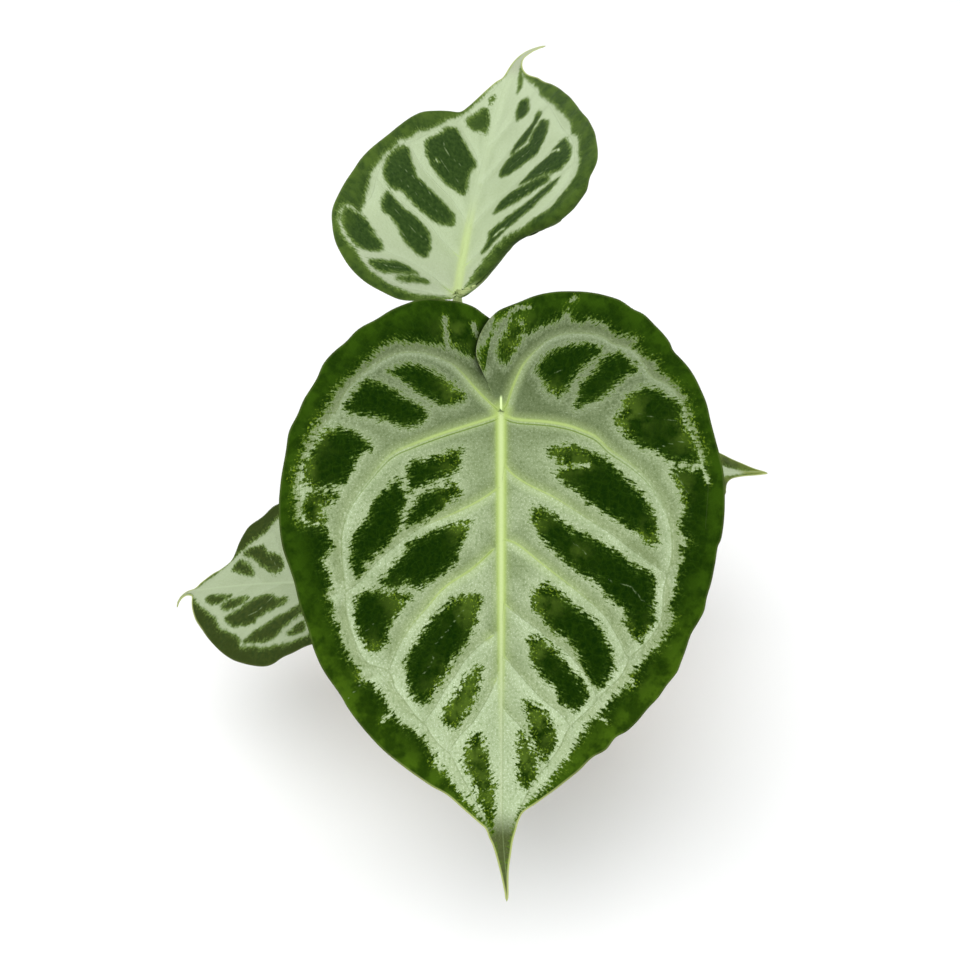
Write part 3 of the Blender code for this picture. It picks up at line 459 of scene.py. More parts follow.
backLeaf = {
    "joint": (-19.6, 45.7, 217.2), "length": 192.0, "heading": (84.0, 73.0), "droop": (-12.0, -16.0),
    "rise": {"right": 43.0, "left": 34.0}, "tipTurn": -70.0, "tipDroop": 10.0,
    "bends": {"right": {
        "edge": [(-1, 0), (11, 8.5), (22, 18), (29, 28), (29, 39), (27, 50), (27, 60), (31, 70),
                 (37, 78), (44, 90)],
        "run": (0.0, 6.0, 14.0), "turn": (0.0, 130.0, 170.0),
    }},
    "tipShift": (0.0, 170.0, 20.0), "steps": 190, "rays": 48, "lobeLift": 0.0, "ripple": 0.4,
    "quilt": 1.3, "seed": 8, "midribWidth": (1.5, 0.5), "gold": 62.0, "soft": 0.55,
    "right": {
        "outline": [
            (-2, 1.2), (0, 4), (5, 9), (12, 17), (18, 26), (21, 38), (19, 50), (19.5, 61), (25, 71),
            (33, 78.5), (41, 83.5), (50, 86.5), (66, 83), (75, 80), (85, 75), (95, 68.7), (111, 58.7),
            (121, 51), (131, 42.5), (142.5, 30), (150, 22.5), (156, 14.5), (161, 10), (167.5, 6),
            (175, 2.6), (182, 1.8), (192, 0.5),
        ],
        "silverEdge": [
            (-3, 0), (3, 3.5), (11, 7.5), (20, 15), (26, 22.5), (28.5, 29), (28.5, 36), (28.5, 41),
            (30.5, 46), (30.5, 52), (30.5, 57), (32, 60), (34, 62), (37, 66), (40, 69.5), (42.5, 72),
            (46, 74), (52.5, 75), (57.5, 74), (64, 72.5), (70, 72), (76, 70), (81, 65.5), (86, 64),
            (91, 62.5), (96, 59), (101, 56), (107, 51), (114, 46), (120, 41), (127, 35), (131, 31),
            (136, 29), (140, 26), (146, 21), (151, 16), (157, 11), (165, 6.5), (175, 3),
        ],
        "patches": [
            [(25, 11), (25, 15), (29, 20), (32, 26), (34, 33), (36, 39), (38, 45), (41, 51), (44, 57.5),
             (48, 61), (51, 62), (50, 53), (47.5, 45), (45.6, 37.5), (44, 30), (42.5, 24), (38, 15.5),
             (32, 14)],
            [(50, 15.6), (49, 20), (49.4, 26), (50, 33), (52, 49), (54, 55), (57, 52.5), (59, 45),
             (59, 37.5), (60, 30), (60, 24), (57, 19)],
            [(62.5, 31), (60, 40), (58.6, 50), (56, 59), (57.5, 64), (61, 67), (67.5, 67), (74, 64),
             (80, 61), (79, 56), (73, 50), (70, 41), (66, 35)],
            [(80, 14), (75.5, 17), (74.5, 22), (76, 29), (77.5, 36), (79, 41), (83, 44), (89, 46),
             (96, 46), (102, 44.5), (106, 40), (104, 37.5), (98, 34), (92, 33), (90.4, 27), (89, 19),
             (84, 15)],
            [(91, 19), (92.5, 25), (94, 30), (99, 33), (104, 34.5), (110, 37), (115, 35.5), (116, 33),
             (109, 30), (104, 25), (98, 20)],
            [(118, 17.5), (118, 24), (121, 26), (127, 24), (132, 22), (135, 19), (133, 15.5), (126, 14)],
            [(141, 11.5), (150, 12), (158, 9), (166, 6), (160, 6.4), (150, 9)],
        ],
        "seams": [
            ([(34, 19), (35.5, 23), (35, 26)], 0.8), ([(74, 53), (73.5, 56), (71, 59)], 0.9),
            ([(32, 18), (38, 28), (41, 40), (45, 54)], 0.5),
            ([(80, 20), (83, 28), (86, 37), (93, 42)], 0.5), ([(62, 38), (61, 46), (62, 54)], 0.5),
            ([(53, 24), (54, 34), (55, 44)], 0.4),
        ],
        "mottles": [(115, 17, 9, 0.5), (80, 60, 6, 0.7), (90, 18, 8, 0.4), (42, 57, 6, 0.3)],
        "veins": [
            ([(0, 0.5), (5, 6), (13, 15), (20, 27), (27, 42), (34, 55), (42, 66), (52, 70),
              (64, 70), (76, 66), (90, 57), (104, 49), (116, 42), (128, 33), (140, 24), (152, 14),
              (166, 5)], 0.9, 0.3, 12, 0.0),
            ([(18, 0.5), (30, 14), (42, 28), (48, 45), (53, 60), (55, 70)], 0.7, 0.3, 8, 0.0),
            ([(46, 0.5), (58, 12), (65, 26), (70, 38), (75, 48), (82, 60)], 0.6, 0.3, 0, 0.0),
            ([(76, 0.5), (90, 12), (100, 20), (110, 30), (117, 41)], 0.6, 0.3, 0, 0.0),
            ([(104, 0.5), (118, 11), (130, 20), (137, 26)], 0.5, 0.3, 0, 0.0),
        ],
    },
    "left": {
        "outline": [
            (-4, 2.6), (-5, 6), (-9, 15), (-14, 23.5), (-16.5, 33), (-16.4, 47), (-12, 58), (-5, 65.5),
            (3, 70.5), (12, 73), (22, 73.4), (35, 71), (47, 68), (58, 65), (70, 60), (80, 55),
            (90, 50.5), (100, 45), (107, 40), (112, 33.5), (116, 27), (120, 20.5), (126, 17),
            (134, 13.6), (143, 10), (152, 6), (157, 3), (165, 1.8), (180, 1.4), (192, 0.5),
        ],
        "silverEdge": [
            (-3, 1), (-4.6, 10), (-7, 16), (-9, 21), (-10.2, 27.5), (-10.6, 37.5), (-9.4, 44),
            (-7.5, 50), (-4.4, 54.4), (-1, 57), (1, 61), (4.4, 66), (9.4, 69), (14, 70.2), (21, 70),
            (24, 66), (23.5, 61), (26, 59.2), (32.5, 58.7), (40, 59), (51, 58.7), (56, 57.5), (61, 56),
            (66, 55), (70, 52.5), (76, 50), (80, 49.4), (82.5, 46), (87.5, 42.5), (92.5, 40), (96, 36),
            (102.5, 31), (110, 26), (116, 21), (120, 18.6), (128, 14.6), (138, 10.8), (149, 7.2),
            (157, 2.9), (164, 1.8), (176, 1.2),
        ],
        "patches": [
            [(-5.6, 34.4), (-5.2, 30), (-2.5, 24), (0, 17.5), (2.6, 15.6), (2.2, 20), (0.3, 26), (-3, 32)],
            [(-3, 50.5), (-5.4, 46), (-5.4, 41), (-3.1, 36), (-0.6, 30), (2.2, 25), (4, 22.8),
             (5.6, 29), (5.5, 34), (4, 38), (1.9, 41), (-0.2, 46)],
            [(8.7, 66), (5.6, 63.7), (3, 60), (1.9, 55), (2.7, 51), (5, 47.5), (7.2, 44.5), (9.4, 43.7),
             (12.5, 46), (14.4, 51), (15.5, 50), (18, 53), (21, 56), (22, 60), (22, 65), (21, 68),
             (17.5, 68.7), (13, 68)],
            [(40, 49.4), (37.5, 50), (31, 48.7), (29, 43.7), (27, 41), (24, 37.5), (21, 36), (19, 33.7),
             (16.2, 28.7), (15, 23.7), (15.6, 20), (18, 19.4), (22.5, 18.7), (29, 20), (32.5, 21),
             (35.6, 25), (38, 30), (39, 35), (40, 39), (42, 42.5), (44.7, 47), (43.7, 48.7)],
            [(45, 8), (42, 10), (40.6, 15), (41, 20), (42.5, 25), (44, 30), (46.5, 36), (49, 41),
             (48, 44), (48, 47.5), (50.6, 50.6), (54, 52.5), (59, 53), (67.5, 52), (71, 50.6), (75, 48),
             (78.5, 45), (78, 43), (75, 41), (72, 40.5), (69, 38), (65, 36), (62.6, 34), (61, 30),
             (59, 25), (57, 20), (55, 16), (53, 12.5), (51, 9.4)],
            [(66, 6), (67, 12.5), (68, 17.5), (70.6, 22.5), (74, 27.5), (76, 30), (80, 32.5),
             (87.5, 34.7), (92, 33), (96, 30), (100, 27.5), (104, 26), (107, 22.5), (107, 20),
             (105.6, 17.5), (102.5, 15), (99, 11), (95, 7.5), (92, 4.4), (89, 3.5), (85, 5), (81, 6),
             (76, 5.6)],
            [(112, 3), (113, 5), (111, 9), (112, 12.5), (114, 15), (117, 15.6), (121, 14), (125, 11),
             (129, 9), (130.6, 6), (128, 4.4), (119, 2.5)],
            [(134, 5), (141, 3.8), (141, 5.4), (136, 6)],
        ],
        "seams": [
            ([(26.3, 21), (27, 26), (30, 34), (35, 42)], 0.6),
            ([(63.4, 51), (63, 44), (60, 34), (55, 22)], 0.6), ([(20, 28), (24, 38), (30, 46)], 0.4),
            ([(46, 14), (50, 28), (54, 40), (57, 50)], 0.4), ([(-2, 45), (0, 37), (4, 30)], 0.4),
            ([(72, 10), (78, 20), (86, 29)], 0.4),
            ([(82, 9), (84, 12), (87, 20), (90.6, 24), (94, 25)], 0.55),
            ([(79, 25), (79.6, 26.5)], 0.8), ([(33, 60), (35, 63)], 0.5),
            ([(4.4, 66), (10, 69), (22, 69)], 0.6), ([(56, 40), (62, 37)], 0.3),
        ],
        "mottles": [(138, 5, 6, 0.9), (66, 5, 7, 0.5), (44, 9, 5, 0.4), (112, 4, 6, 0.6)],
        "veins": [
            ([(0, 0.5), (3, 8), (7, 18), (9, 30), (8, 42), (11, 56), (24, 61), (36, 56), (50, 55.5),
              (62, 54), (74, 50), (86, 40), (98, 32), (110, 22), (120, 17), (134, 11), (148, 5),
              (160, 2)], 0.8, 0.3, 10, 0.0),
            ([(0, 1), (-3, 8), (-5, 18), (-8, 28), (-8, 40), (-5, 50)], 0.6, 0.3, 0, 0.0),
            ([(24, 0.5), (32, 14), (39, 24), (42, 36), (46, 50), (49, 56)], 0.7, 0.3, 8, 0.0),
            ([(48, 0.5), (60, 12), (66, 24), (72, 34), (80, 42)], 0.6, 0.3, 0, 0.0),
            ([(84, 0.5), (96, 5), (104, 12), (110, 19)], 0.6, 0.3, 0, 0.0),
        ],
    },
}

leftLeaf = {
    "joint": (-74.2, -70.2, 129.6), "length": 112.0, "heading": (160.0, 168.0), "droop": (20.0, 26.0),
    "rise": {"right": 26.0, "left": -21.0}, "tipTurn": 40.0, "tipDroop": 60.0, "bends": {},
    "tipShift": (0.0, 100.0, 10.0), "steps": 130, "rays": 36, "lobeLift": 0.0, "ripple": 0.3,
    "quilt": 1.1, "seed": 21, "midribWidth": (1.1, 0.4), "gold": 30.0, "soft": 0.6,
    "right": {
        "outline": [
            (-3, 0.8), (-8, 3), (-15, 9), (-19, 19), (-17, 30), (-9, 40), (3, 47), (18, 51), (34, 50),
            (50, 45), (54.6, 42.3), (58.3, 39.4), (65, 35), (68, 30.7), (70.4, 25.7), (73.7, 16.5),
            (79.6, 11.5), (83.3, 9.8), (87, 7.7), (91, 4.8), (94, 1.6), (98, 1.2), (104, 0.8),
            (112, 0.4),
        ],
        "silverEdge": [
            (-5, 3), (-9, 12), (-11, 22), (-9, 30), (-3, 36), (6, 41), (18, 44), (30, 42), (40, 39),
            (47, 37), (50, 35.7), (53, 32), (58, 28), (62.5, 24.8), (66.7, 21.5), (70, 19), (74, 15.6),
            (80, 10.6), (88, 5.2), (93, 2), (104, 0.4),
        ],
        "patches": [
            [(-4, 14), (-7, 21), (-5, 29), (0, 32), (3, 25), (1, 17)],
            [(6, 15), (5, 24), (8, 34), (16, 38), (19, 31), (16, 22), (10, 14)],
            [(17, 9), (21, 18), (23, 28), (29, 37), (37, 34), (36, 26), (30, 16), (23, 9)],
            [(41.7, 6), (40, 9.8), (41.7, 14), (46, 17.3), (50, 17.6), (54, 21.5), (58, 22.7),
             (63, 21.5), (66.7, 18.6), (63, 16.5), (58, 14), (54, 10.7), (49, 7.7), (45, 5.2)],
            [(57.5, 5.2), (58, 8), (61, 11.5), (66, 14.8), (69, 15.2), (72, 11.5), (71, 9), (66.7, 7.7),
             (61.7, 5.7)],
        ],
        "seams": [([(41.7, 8), (46, 12), (50.5, 16)], 0.45)],
        "mottles": [(42, 5, 6, 0.6)],
        "veins": [
            ([(0, 0.5), (4, 8), (10, 20), (18, 32), (28, 39), (40, 37), (52, 30), (62, 23), (70, 17),
              (82, 7), (90, 2)], 0.7, 0.3, 6, 0.0),
            ([(12, 0.5), (20, 12), (26, 24), (32, 37)], 0.5, 0.3, 0, 0.0),
            ([(32, 0.5), (40, 14), (46, 22), (50, 31)], 0.5, 0.3, 0, 0.0),
            ([(50, 0.5), (58, 9), (64, 16), (68, 19)], 0.4, 0.3, 0, 0.0),
        ],
    },
    "left": {
        "outline": [
            (-3, 0.8), (-8, 3), (-15, 8), (-18, 16), (-15, 25), (-6, 31), (8.5, 34.4), (18.5, 39.3),
            (24, 41.5), (30, 44.7), (35, 46), (41, 45.6), (50, 43.8), (57.5, 41.4), (66, 36.8),
            (75, 30), (84.5, 21), (89, 15), (92, 9), (93.7, 4), (96, 2.6), (100, 1.4), (106, 0.9),
            (112, 0.4),
        ],
        "silverEdge": [
            (-5, 3), (-9, 10), (-10, 17), (-6, 23), (3, 27), (11.7, 30), (18, 32.7), (24, 34.7),
            (29, 35), (35, 36.4), (40, 36.4), (46.7, 35.6), (53, 35.3), (54, 31), (57.5, 29.3),
            (63, 26.8), (69, 24.7), (72.5, 20), (77.5, 16), (83, 12.7), (88, 9.3), (92.4, 4.6),
            (97, 1.4), (104, 0.4),
        ],
        "patches": [
            [(-5, 9), (-7, 15), (-3, 20), (4, 21), (2, 13)],
            [(14, 27.7), (16.7, 22.7), (22, 26.8), (25, 29.7), (19, 29.7)],
            [(6, 8), (9, 18), (19.6, 19.3), (22.5, 14.3), (16, 7)],
            [(19.6, 19.3), (22.5, 14.3), (27.5, 17.7), (33, 20), (40, 24.3), (46, 27.7), (50.4, 31),
             (51, 33.3), (43, 33.7), (36.7, 33.3), (31, 31), (27.5, 26.8), (23, 22.7)],
            [(29, 11.8), (32, 9.7), (36.7, 10.2), (39, 8), (45, 7.7), (52, 10), (58, 14.3), (64, 17.3),
             (67.5, 19.3), (64, 22.7), (60, 24.7), (54, 24.3), (48, 24), (44, 20), (38, 16.8),
             (32.5, 14.3)],
            [(55, 9.3), (57.5, 7.7), (63, 8.5), (69, 10.2), (71, 12.7), (69, 15.2), (63, 14.3),
             (58, 11.8)],
            [(66.7, 6), (73, 6), (79, 5), (83, 6.8), (81.7, 9.3), (77.5, 11), (73, 10.6), (68, 8)],
        ],
        "seams": [([(38.5, 8.6), (42, 13), (46, 17), (52, 19.3)], 0.45)],
        "mottles": [(31, 10, 5, 0.6), (57, 9, 4, 0.5)],
        "veins": [
            ([(0, 0.5), (4, 10), (14, 24), (26, 33), (38, 34.6), (52, 33), (62, 27), (72, 18.6),
              (82, 11), (90, 5)], 0.7, 0.3, 6, 0.0),
            ([(12, 0.5), (22, 12), (32, 19), (44, 26), (53, 32)], 0.5, 0.3, 0, 0.0),
            ([(36, 0.5), (50, 8), (60, 14), (70, 19.5)], 0.5, 0.3, 0, 0.0),
            ([(56, 0.5), (64, 6.5), (72, 12), (78, 14)], 0.4, 0.3, 0, 0.0),
        ],
    },
}

hiddenPatches = [
    [(-4, 12), (-7, 19), (-5, 26), (1, 30), (4, 24), (2, 15)],
    [(8, 14), (6, 22), (9, 31), (16, 36), (20, 30), (18, 21), (13, 14)],
]
rightLeaf = {
    "joint": (56.0, -15.5, 156.5), "length": 109.0, "heading": (22.0, 18.0), "droop": (23.0, 25.0),
    "rise": {"right": 24.0, "left": -6.0}, "tipTurn": -6.0, "tipDroop": -6.0, "bends": {},
    "tipShift": (-4.5, 66.0, 40.0), "steps": 130, "rays": 36, "lobeLift": 0.0, "ripple": 0.3,
    "quilt": 1.1, "seed": 34, "midribWidth": (1.1, 0.6), "gold": 30.0, "soft": 0.6,
    "right": {
        "outline": [
            (-3, 0.8), (-8, 3), (-15, 8), (-18, 17), (-16, 28), (-9, 37), (2, 44), (16, 47.5), (32, 44),
            (46, 38), (57, 28.5), (64, 20), (71, 12), (78, 6.4), (84, 4), (91, 2.6), (98, 2.0),
            (103, 1.6), (109, 0.5),
        ],
        "silverEdge": [
            (-5, 3), (-9, 11), (-11, 20), (-9, 27), (-3, 33), (6, 38), (17, 40), (29, 37), (40, 30),
            (50, 22), (57, 15.5), (63, 10.5), (69, 6.6), (76, 4), (82, 2.4), (90, 1.4), (99, 0.6),
        ],
        "patches": hiddenPatches + [
            [(20, 9), (23, 18), (25, 27), (29, 33), (36, 29), (37, 23), (33, 15), (27, 9)],
            [(42, 8), (42, 14), (44, 21), (49, 19), (53, 14), (52, 9), (47, 6)],
            [(60, 4), (60, 9), (63, 12), (67, 7), (71, 3.5), (66, 2.8)],
        ],
        "seams": [([(30, 14), (32, 20), (34, 27)], 0.4)],
        "mottles": [(9, 15, 6, 0.6), (44, 9, 6, 0.6), (64, 6, 8, 0.7)],
        "veins": [
            ([(0, 0.5), (4, 8), (10, 19), (18, 30), (27, 35), (38, 29), (49, 20.5), (58, 12.5), (68, 5),
              (80, 1.6)], 0.7, 0.3, 6, 0.0),
            ([(14, 0.5), (21, 12), (27, 24), (32, 36)], 0.5, 0.3, 0, 0.0),
            ([(34, 0.5), (39, 11), (42, 19), (45, 23)], 0.5, 0.3, 0, 0.0),
            ([(50, 0.5), (54, 7), (57, 12)], 0.4, 0.3, 0, 0.0),
        ],
    },
    "left": {
        "outline": [
            (-3, 0.8), (-8, 3), (-15, 8), (-18, 17), (-16, 28), (-9, 37), (2, 44), (16, 49), (32, 48),
            (48, 43), (62, 35), (75, 25.5), (86, 17), (93, 10.5), (99, 5.5), (104, 2.6), (109, 0.6),
        ],
        "silverEdge": [
            (-5, 3), (-9, 11), (-11, 20), (-9, 27), (-3, 33), (6, 38), (17, 41), (30, 40), (43, 36),
            (54, 29), (63, 22), (71, 14), (77, 8), (83, 4.4), (90, 2.6), (97, 1.8),
        ],
        "patches": hiddenPatches + [
            [(20, 9), (23, 18), (25, 27), (31, 36), (40, 33), (39, 25), (33, 15), (27, 9)],
            [(43, 8), (44, 16), (47, 26), (54, 26), (60, 19), (55, 11), (49, 7)],
            [(62, 5), (63, 11), (67, 14), (72, 9), (75, 4), (69, 3.2)],
        ],
        "seams": [([(47, 12), (51, 17), (55, 20)], 0.4)],
        "mottles": [(9, 15, 6, 0.6), (45, 9, 6, 0.6), (68, 7, 8, 0.7)],
        "veins": [
            ([(0, 0.5), (4, 8), (10, 19), (18, 30), (30, 37), (43, 34), (55, 26.5), (65, 18), (75, 8),
              (86, 3)], 0.7, 0.3, 6, 0.0),
            ([(14, 0.5), (21, 12), (28, 24), (34, 36.6)], 0.5, 0.3, 0, 0.0),
            ([(34, 0.5), (41, 12), (47, 24), (52, 30)], 0.5, 0.3, 0, 0.0),
            ([(54, 0.5), (60, 8), (66, 17)], 0.4, 0.3, 0, 0.0),
        ],
    },
}


def lineField(flat, line):
    # distance of each flat place from a line, and how far along the line its nearest point lies
    near = np.full(len(flat), 1e6)
    along = np.zeros(len(flat))
    run = 0.0
    for start, end in zip(line, line[1:]):
        step = end - start
        length = np.hypot(*step)
        share = np.clip((flat - start) @ step / (length * length), 0.0, 1.0)
        gap = np.hypot(*(flat - start - share[:, None] * step).T)
        closer = gap < near
        near = np.where(closer, gap, near)
        along = np.where(closer, run + share * length, along)
        run += length
    return near, along


def isInside(flat, ring):
    inside = np.zeros(len(flat), bool)
    for (a0, b0), (a1, b1) in zip(ring, np.roll(ring, -1, axis=0)):
        if b0 != b1:
            spans = (b0 > flat[:, 1]) != (b1 > flat[:, 1])
            inside ^= spans & (flat[:, 0] < (a1 - a0) * (flat[:, 1] - b0) / (b1 - b0) + a0)
    return inside


def silverField(flat, half):
    # above zero in the silver zone, below zero in the dark patches and the dark margin;
    # also the distance to the nearest hairline inside a patch
    edge = through(half["silverEdge"], 6 * len(half["silverEdge"]))
    near = lineField(flat, edge)[0]
    ring = np.vstack([edge, [(400.0, 0.0), (400.0, -60.0), (-60.0, -60.0), (-60.0, 0.0)]])
    field = np.where(isInside(flat, ring), near, -near)
    for patch in half["patches"]:
        ring = ringThrough(patch, 5 * len(patch))
        near = lineField(flat, ring)[0]
        field = np.minimum(field, np.where(isInside(flat, ring), -near, near))
    hair = np.full(len(flat), blade["noHair"])
    for line, width in half["seams"]:
        near = lineField(flat, through(line, 12))[0]
        if width > blade["hairWidth"]:
            field = np.maximum(field, blade["seamSlope"] * (width - near))
        else:
            hair = np.minimum(hair, near + 0.3 - width * 0.4)
    return field, hair


def mottleField(flat, half):
    field = np.zeros(len(flat))
    for a, b, radius, strength in half["mottles"]:
        gap = np.hypot(flat[:, 0] - a, flat[:, 1] - b)
        field = np.maximum(field, strength * np.exp(-((gap / radius) ** 2)))
    return field


def veinFields(flat, half, shift=0.0):
    # signed distance to the nearest side vein (the sign flips over each vein), its width,
    # how golden it is, and the flank beside it for painted light and shade: 1 on its side towards the tip
    # (painted lit side), -1 on the other (painted shaded side)
    near = np.full(len(flat), 1e6)
    second = np.full(len(flat), 1e6)
    width = np.zeros(len(flat))
    gold = np.zeros(len(flat))
    sign = np.ones(len(flat))
    paintedFlankShading = np.zeros(len(flat))
    for line, base, end, goldLength, creaseShadow in half["veins"]:
        line = through(line, 5 * len(line)) + np.array([shift * creaseShadow, 0.0])
        first = line[1] - line[0]
        head = line[0] - first * blade["veinHead"] / np.hypot(*first)
        tail = line[-1] + np.array(blade["veinTail"])
        length = float(np.sum(np.hypot(*np.diff(line, axis=0).T)))
        gap, along = lineField(flat, np.vstack([head, line, tail]))
        along = along - blade["veinHead"]
        full = base + (end - base) * np.clip(along / length, 0.0, 1.0) ** 0.6
        full = full * smooth(along, -1.0, 1.5) * smooth(-along, -length - 3.0, -length + 3.0)
        golden = 1.0 - smooth(along, goldLength * 0.35, goldLength + 1.0)
        closer = gap < near
        second = np.where(closer, near, np.minimum(second, gap))
        near = np.where(closer, gap, near)
        width = np.where(closer, full, width)
        gold = np.where(closer, golden, gold)
        behind = head * 6.0 - line[0] * 5.0
        ring = np.vstack([line, [tail, (blade["farOff"], tail[1]), (blade["farOff"], -60.0), behind]])
        beyond = isInside(flat, ring)
        sign = np.where(beyond, -sign, sign)
        paintedFlankShading = np.where(closer, np.where(beyond, 1.0, -1.0), paintedFlankShading)
    paintedFlankShading = paintedFlankShading * np.exp(-((near / blade["flankShadingReach"]) ** 2)) * smooth(second - near, 0.0, 4.0)
    return near * sign, width, gold, paintedFlankShading


def midribFrame(leaf):
    steps = blade["midribSteps"]
    points = [np.array(leaf["joint"])]
    along = []
    for step in range(steps + 1):
        share = step / steps
        turn = max(0.0, (share - blade["tipShare"]) / (1.0 - blade["tipShare"])) ** 1.3
        heading = leaf["heading"][0] + (leaf["heading"][1] - leaf["heading"][0]) * share
        droop = leaf["droop"][0] + (leaf["droop"][1] - leaf["droop"][0]) * share
        heading = math.radians(heading + leaf["tipTurn"] * turn)
        droop = math.radians(droop + leaf["tipDroop"] * turn)
        level = math.cos(droop)
        along.append((math.cos(heading) * level, math.sin(heading) * level, -math.sin(droop)))
        points.append(points[-1] + leaf["length"] / steps * np.array(along[-1]))
    points = np.array(points[:-1])
    along = np.array(along)
    across = np.stack([along[:, 1], -along[:, 0], np.zeros(len(along))], axis=1)
    across /= np.linalg.norm(across, axis=1)[:, None]
    return points, along, across, np.cross(across, along)


def rolled(flat, bend):
    # what lies behind the bend's edge rolls under; its turn grows with the run past the edge
    edge = through(bend["edge"], 60)
    past = np.maximum(np.interp(flat[:, 1], edge[:, 1], edge[:, 0]) - flat[:, 0], 0.0)
    run = np.arange(0.0, 90.0, 0.25)
    turn = np.radians(np.interp(run, bend["run"], bend["turn"]))
    reach = np.interp(past, run, (np.cumsum(np.cos(turn)) - 1.0) * 0.25)
    drop = np.interp(past, run, np.cumsum(np.sin(turn)) * 0.25)
    return flat + np.stack([past - reach, np.zeros(len(flat))], axis=1), -drop


def placed(leaf, midrib, side, flat):
    # flat places of one half blade in space
    points, along, across, up = midrib
    lift = np.zeros(len(flat))
    if side in leaf["bends"]:
        flat, lift = rolled(flat, leaf["bends"][side])
    if side == "left":
        over = smooth(-flat[:, 1], -6.0, 14.0) * smooth(-flat[:, 0], 2.0, 20.0)
        lift = lift + leaf["lobeLift"] * over
    steps = np.arange(blade["midribSteps"] + 1)
    place = np.clip(flat[:, 0] / leaf["length"], 0.0, 1.0) * blade["midribSteps"]
    origin, forward, outward, normal = (
        np.stack([np.interp(place, steps, axis) for axis in rows.T], axis=1)
        for rows in (points, along, across, up)
    )
    origin = origin + forward * np.minimum(flat[:, 0], 0.0)[:, None]
    sign = 1.0 if side == "right" else -1.0
    rise = math.radians(leaf["rise"][side])
    width = np.maximum(flat[:, 1], 0.0)
    raised = width - blade["midribRounding"] * (1.0 - np.exp(-width / blade["midribRounding"]))
    reach = flat[:, 1] - (1.0 - math.cos(rise)) * raised - math.sin(rise) * lift
    height = math.sin(rise) * raised + math.cos(rise) * lift
    shift, begin, span = leaf["tipShift"]
    drift = shift * np.clip((flat[:, 0] - begin) / span, 0.0, 1.0) ** 1.3
    return origin + outward * (sign * reach + drift)[:, None] + normal * height[:, None]


def bladeGrid(leaf):
    # the flat places of both halves, each with its side and its step along the margin, and the faces;
    # the rays fan out from the stalk first and then start further and further down the midrib
    steps, rays = leaf["steps"], leaf["rays"]
    shares = np.linspace(0.0, 1.0, steps + 1)
    slide = np.clip((shares - blade["fanShare"]) / (1.0 - blade["fanShare"]), 0.0, 1.0) ** 1.2
    lastFan = int(np.sum(slide == 0.0)) - 1
    known = {}
    owner, flats, rows, faces, faceSides = [], [], [], [], []

    def vertex(side, step, ray):
        if step == steps:
            key = "tip"
        elif ray == 0:
            key = "stalk" if step <= lastFan else ("midrib", step)
        else:
            key = (side, step, ray)
        if key not in known:
            known[key] = len(owner)
            owner.append(side)
            flats.append(grid[step, ray])
            rows.append((step, ray))
        return known[key]

    for side in ("right", "left"):
        outline = through(leaf[side]["outline"], steps + 1)
        starts = np.stack([leaf["length"] * slide, np.zeros(steps + 1)], axis=1)
        share = np.linspace(0.0, 1.0, rays + 1)[None, :, None]
        grid = starts[:, None, :] * (1.0 - share) + outline[:, None, :] * share
        index = [[vertex(side, step, ray) for ray in range(rays + 1)] for step in range(steps + 1)]
        for row, after in zip(index, index[1:]):
            for ray in range(rays):
                corners = list(dict.fromkeys([row[ray], after[ray], after[ray + 1], row[ray + 1]]))
                if side == "right":
                    corners.reverse()
                if len(corners) > 2:
                    faces.append(corners)
                    faceSides.append(side)
    step = np.array(rows)[:, 0]
    return np.array(flats), np.array(owner), step, faces, faceSides, leaf["length"] * slide[step]


def patternAndShadeFields(leaf, flats, owner):
    # what each place needs to know of the pattern and of the painted light and shade, for the finishes and
    # the relief
    names = ("silver", "mottle", "vein", "veinWidth", "gold", "paintedFlankShading", "creaseShadow", "rim", "shade", "hair")
    fields = {key: np.zeros(len(flats)) for key in names}
    for side in ("right", "left"):
        mine = owner == side
        flat, half = flats[mine], leaf[side]
        fields["silver"][mine], fields["hair"][mine] = silverField(flat, half)
        fields["mottle"][mine] = mottleField(flat, half)
        for key, values in zip(("vein", "veinWidth", "gold", "paintedFlankShading"), veinFields(flat, half)):
            fields[key][mine] = values
        fields["creaseShadow"][mine] = veinFields(flat, half, 1.0)[0]
        fields["rim"][mine] = lineField(flat, through(half["outline"], leaf["steps"] + 1))[0]
    if leaf["lobeLift"]:
        # painted shadow: the lobe beneath is darker along the edge of the lobe that lies over it
        over = through(leaf["left"]["outline"], leaf["steps"] + 1)[: leaf["steps"] // 3]
        beneath = owner == "right"
        near = lineField(flats[beneath], over * np.array([1.0, -1.0]))[0]
        inCleft = smooth(-flats[beneath][:, 0], 1.0, 12.0)
        fields["shade"][beneath] = (1.0 - smooth(near, 0.0, blade["lobeShade"])) * inCleft
    return fields


def sheetNormals(sheet, faces):
    mesh = bpy.data.meshes.new("sheet")
    mesh.from_pydata(sheet.tolist(), [], faces)
    normals = np.zeros(len(sheet) * 3, np.float32)
    mesh.vertex_normals.foreach_get("vector", normals)
    bpy.data.meshes.remove(mesh)
    return normals.reshape(-1, 3)


def marginWave(leaf, owner, run, fromRim, fromMidrib):
    # slow ripples along the margin that die away towards the midrib
    rng = np.random.default_rng(leaf["seed"])
    wave = np.zeros(len(run))
    for _ in range(relief["waves"]):
        length = rng.uniform(*relief["waveLength"])
        phase = rng.uniform(0.0, 6.28, 2)
        sidePhase = np.where(owner == "right", phase[0], phase[1])
        wave += np.sin(2.0 * math.pi * run / length + sidePhase) / 2.0
    wave *= leaf["ripple"] * (1.0 - smooth(fromRim, 0.0, relief["waveReach"]))
    return wave * smooth(fromRim + fromMidrib, 0.0, relief["waveStart"])


def hump(distance, reach):
    # 1 at the middle, falling off smoothly on both sides
    return np.exp(-((distance / reach) ** 2))


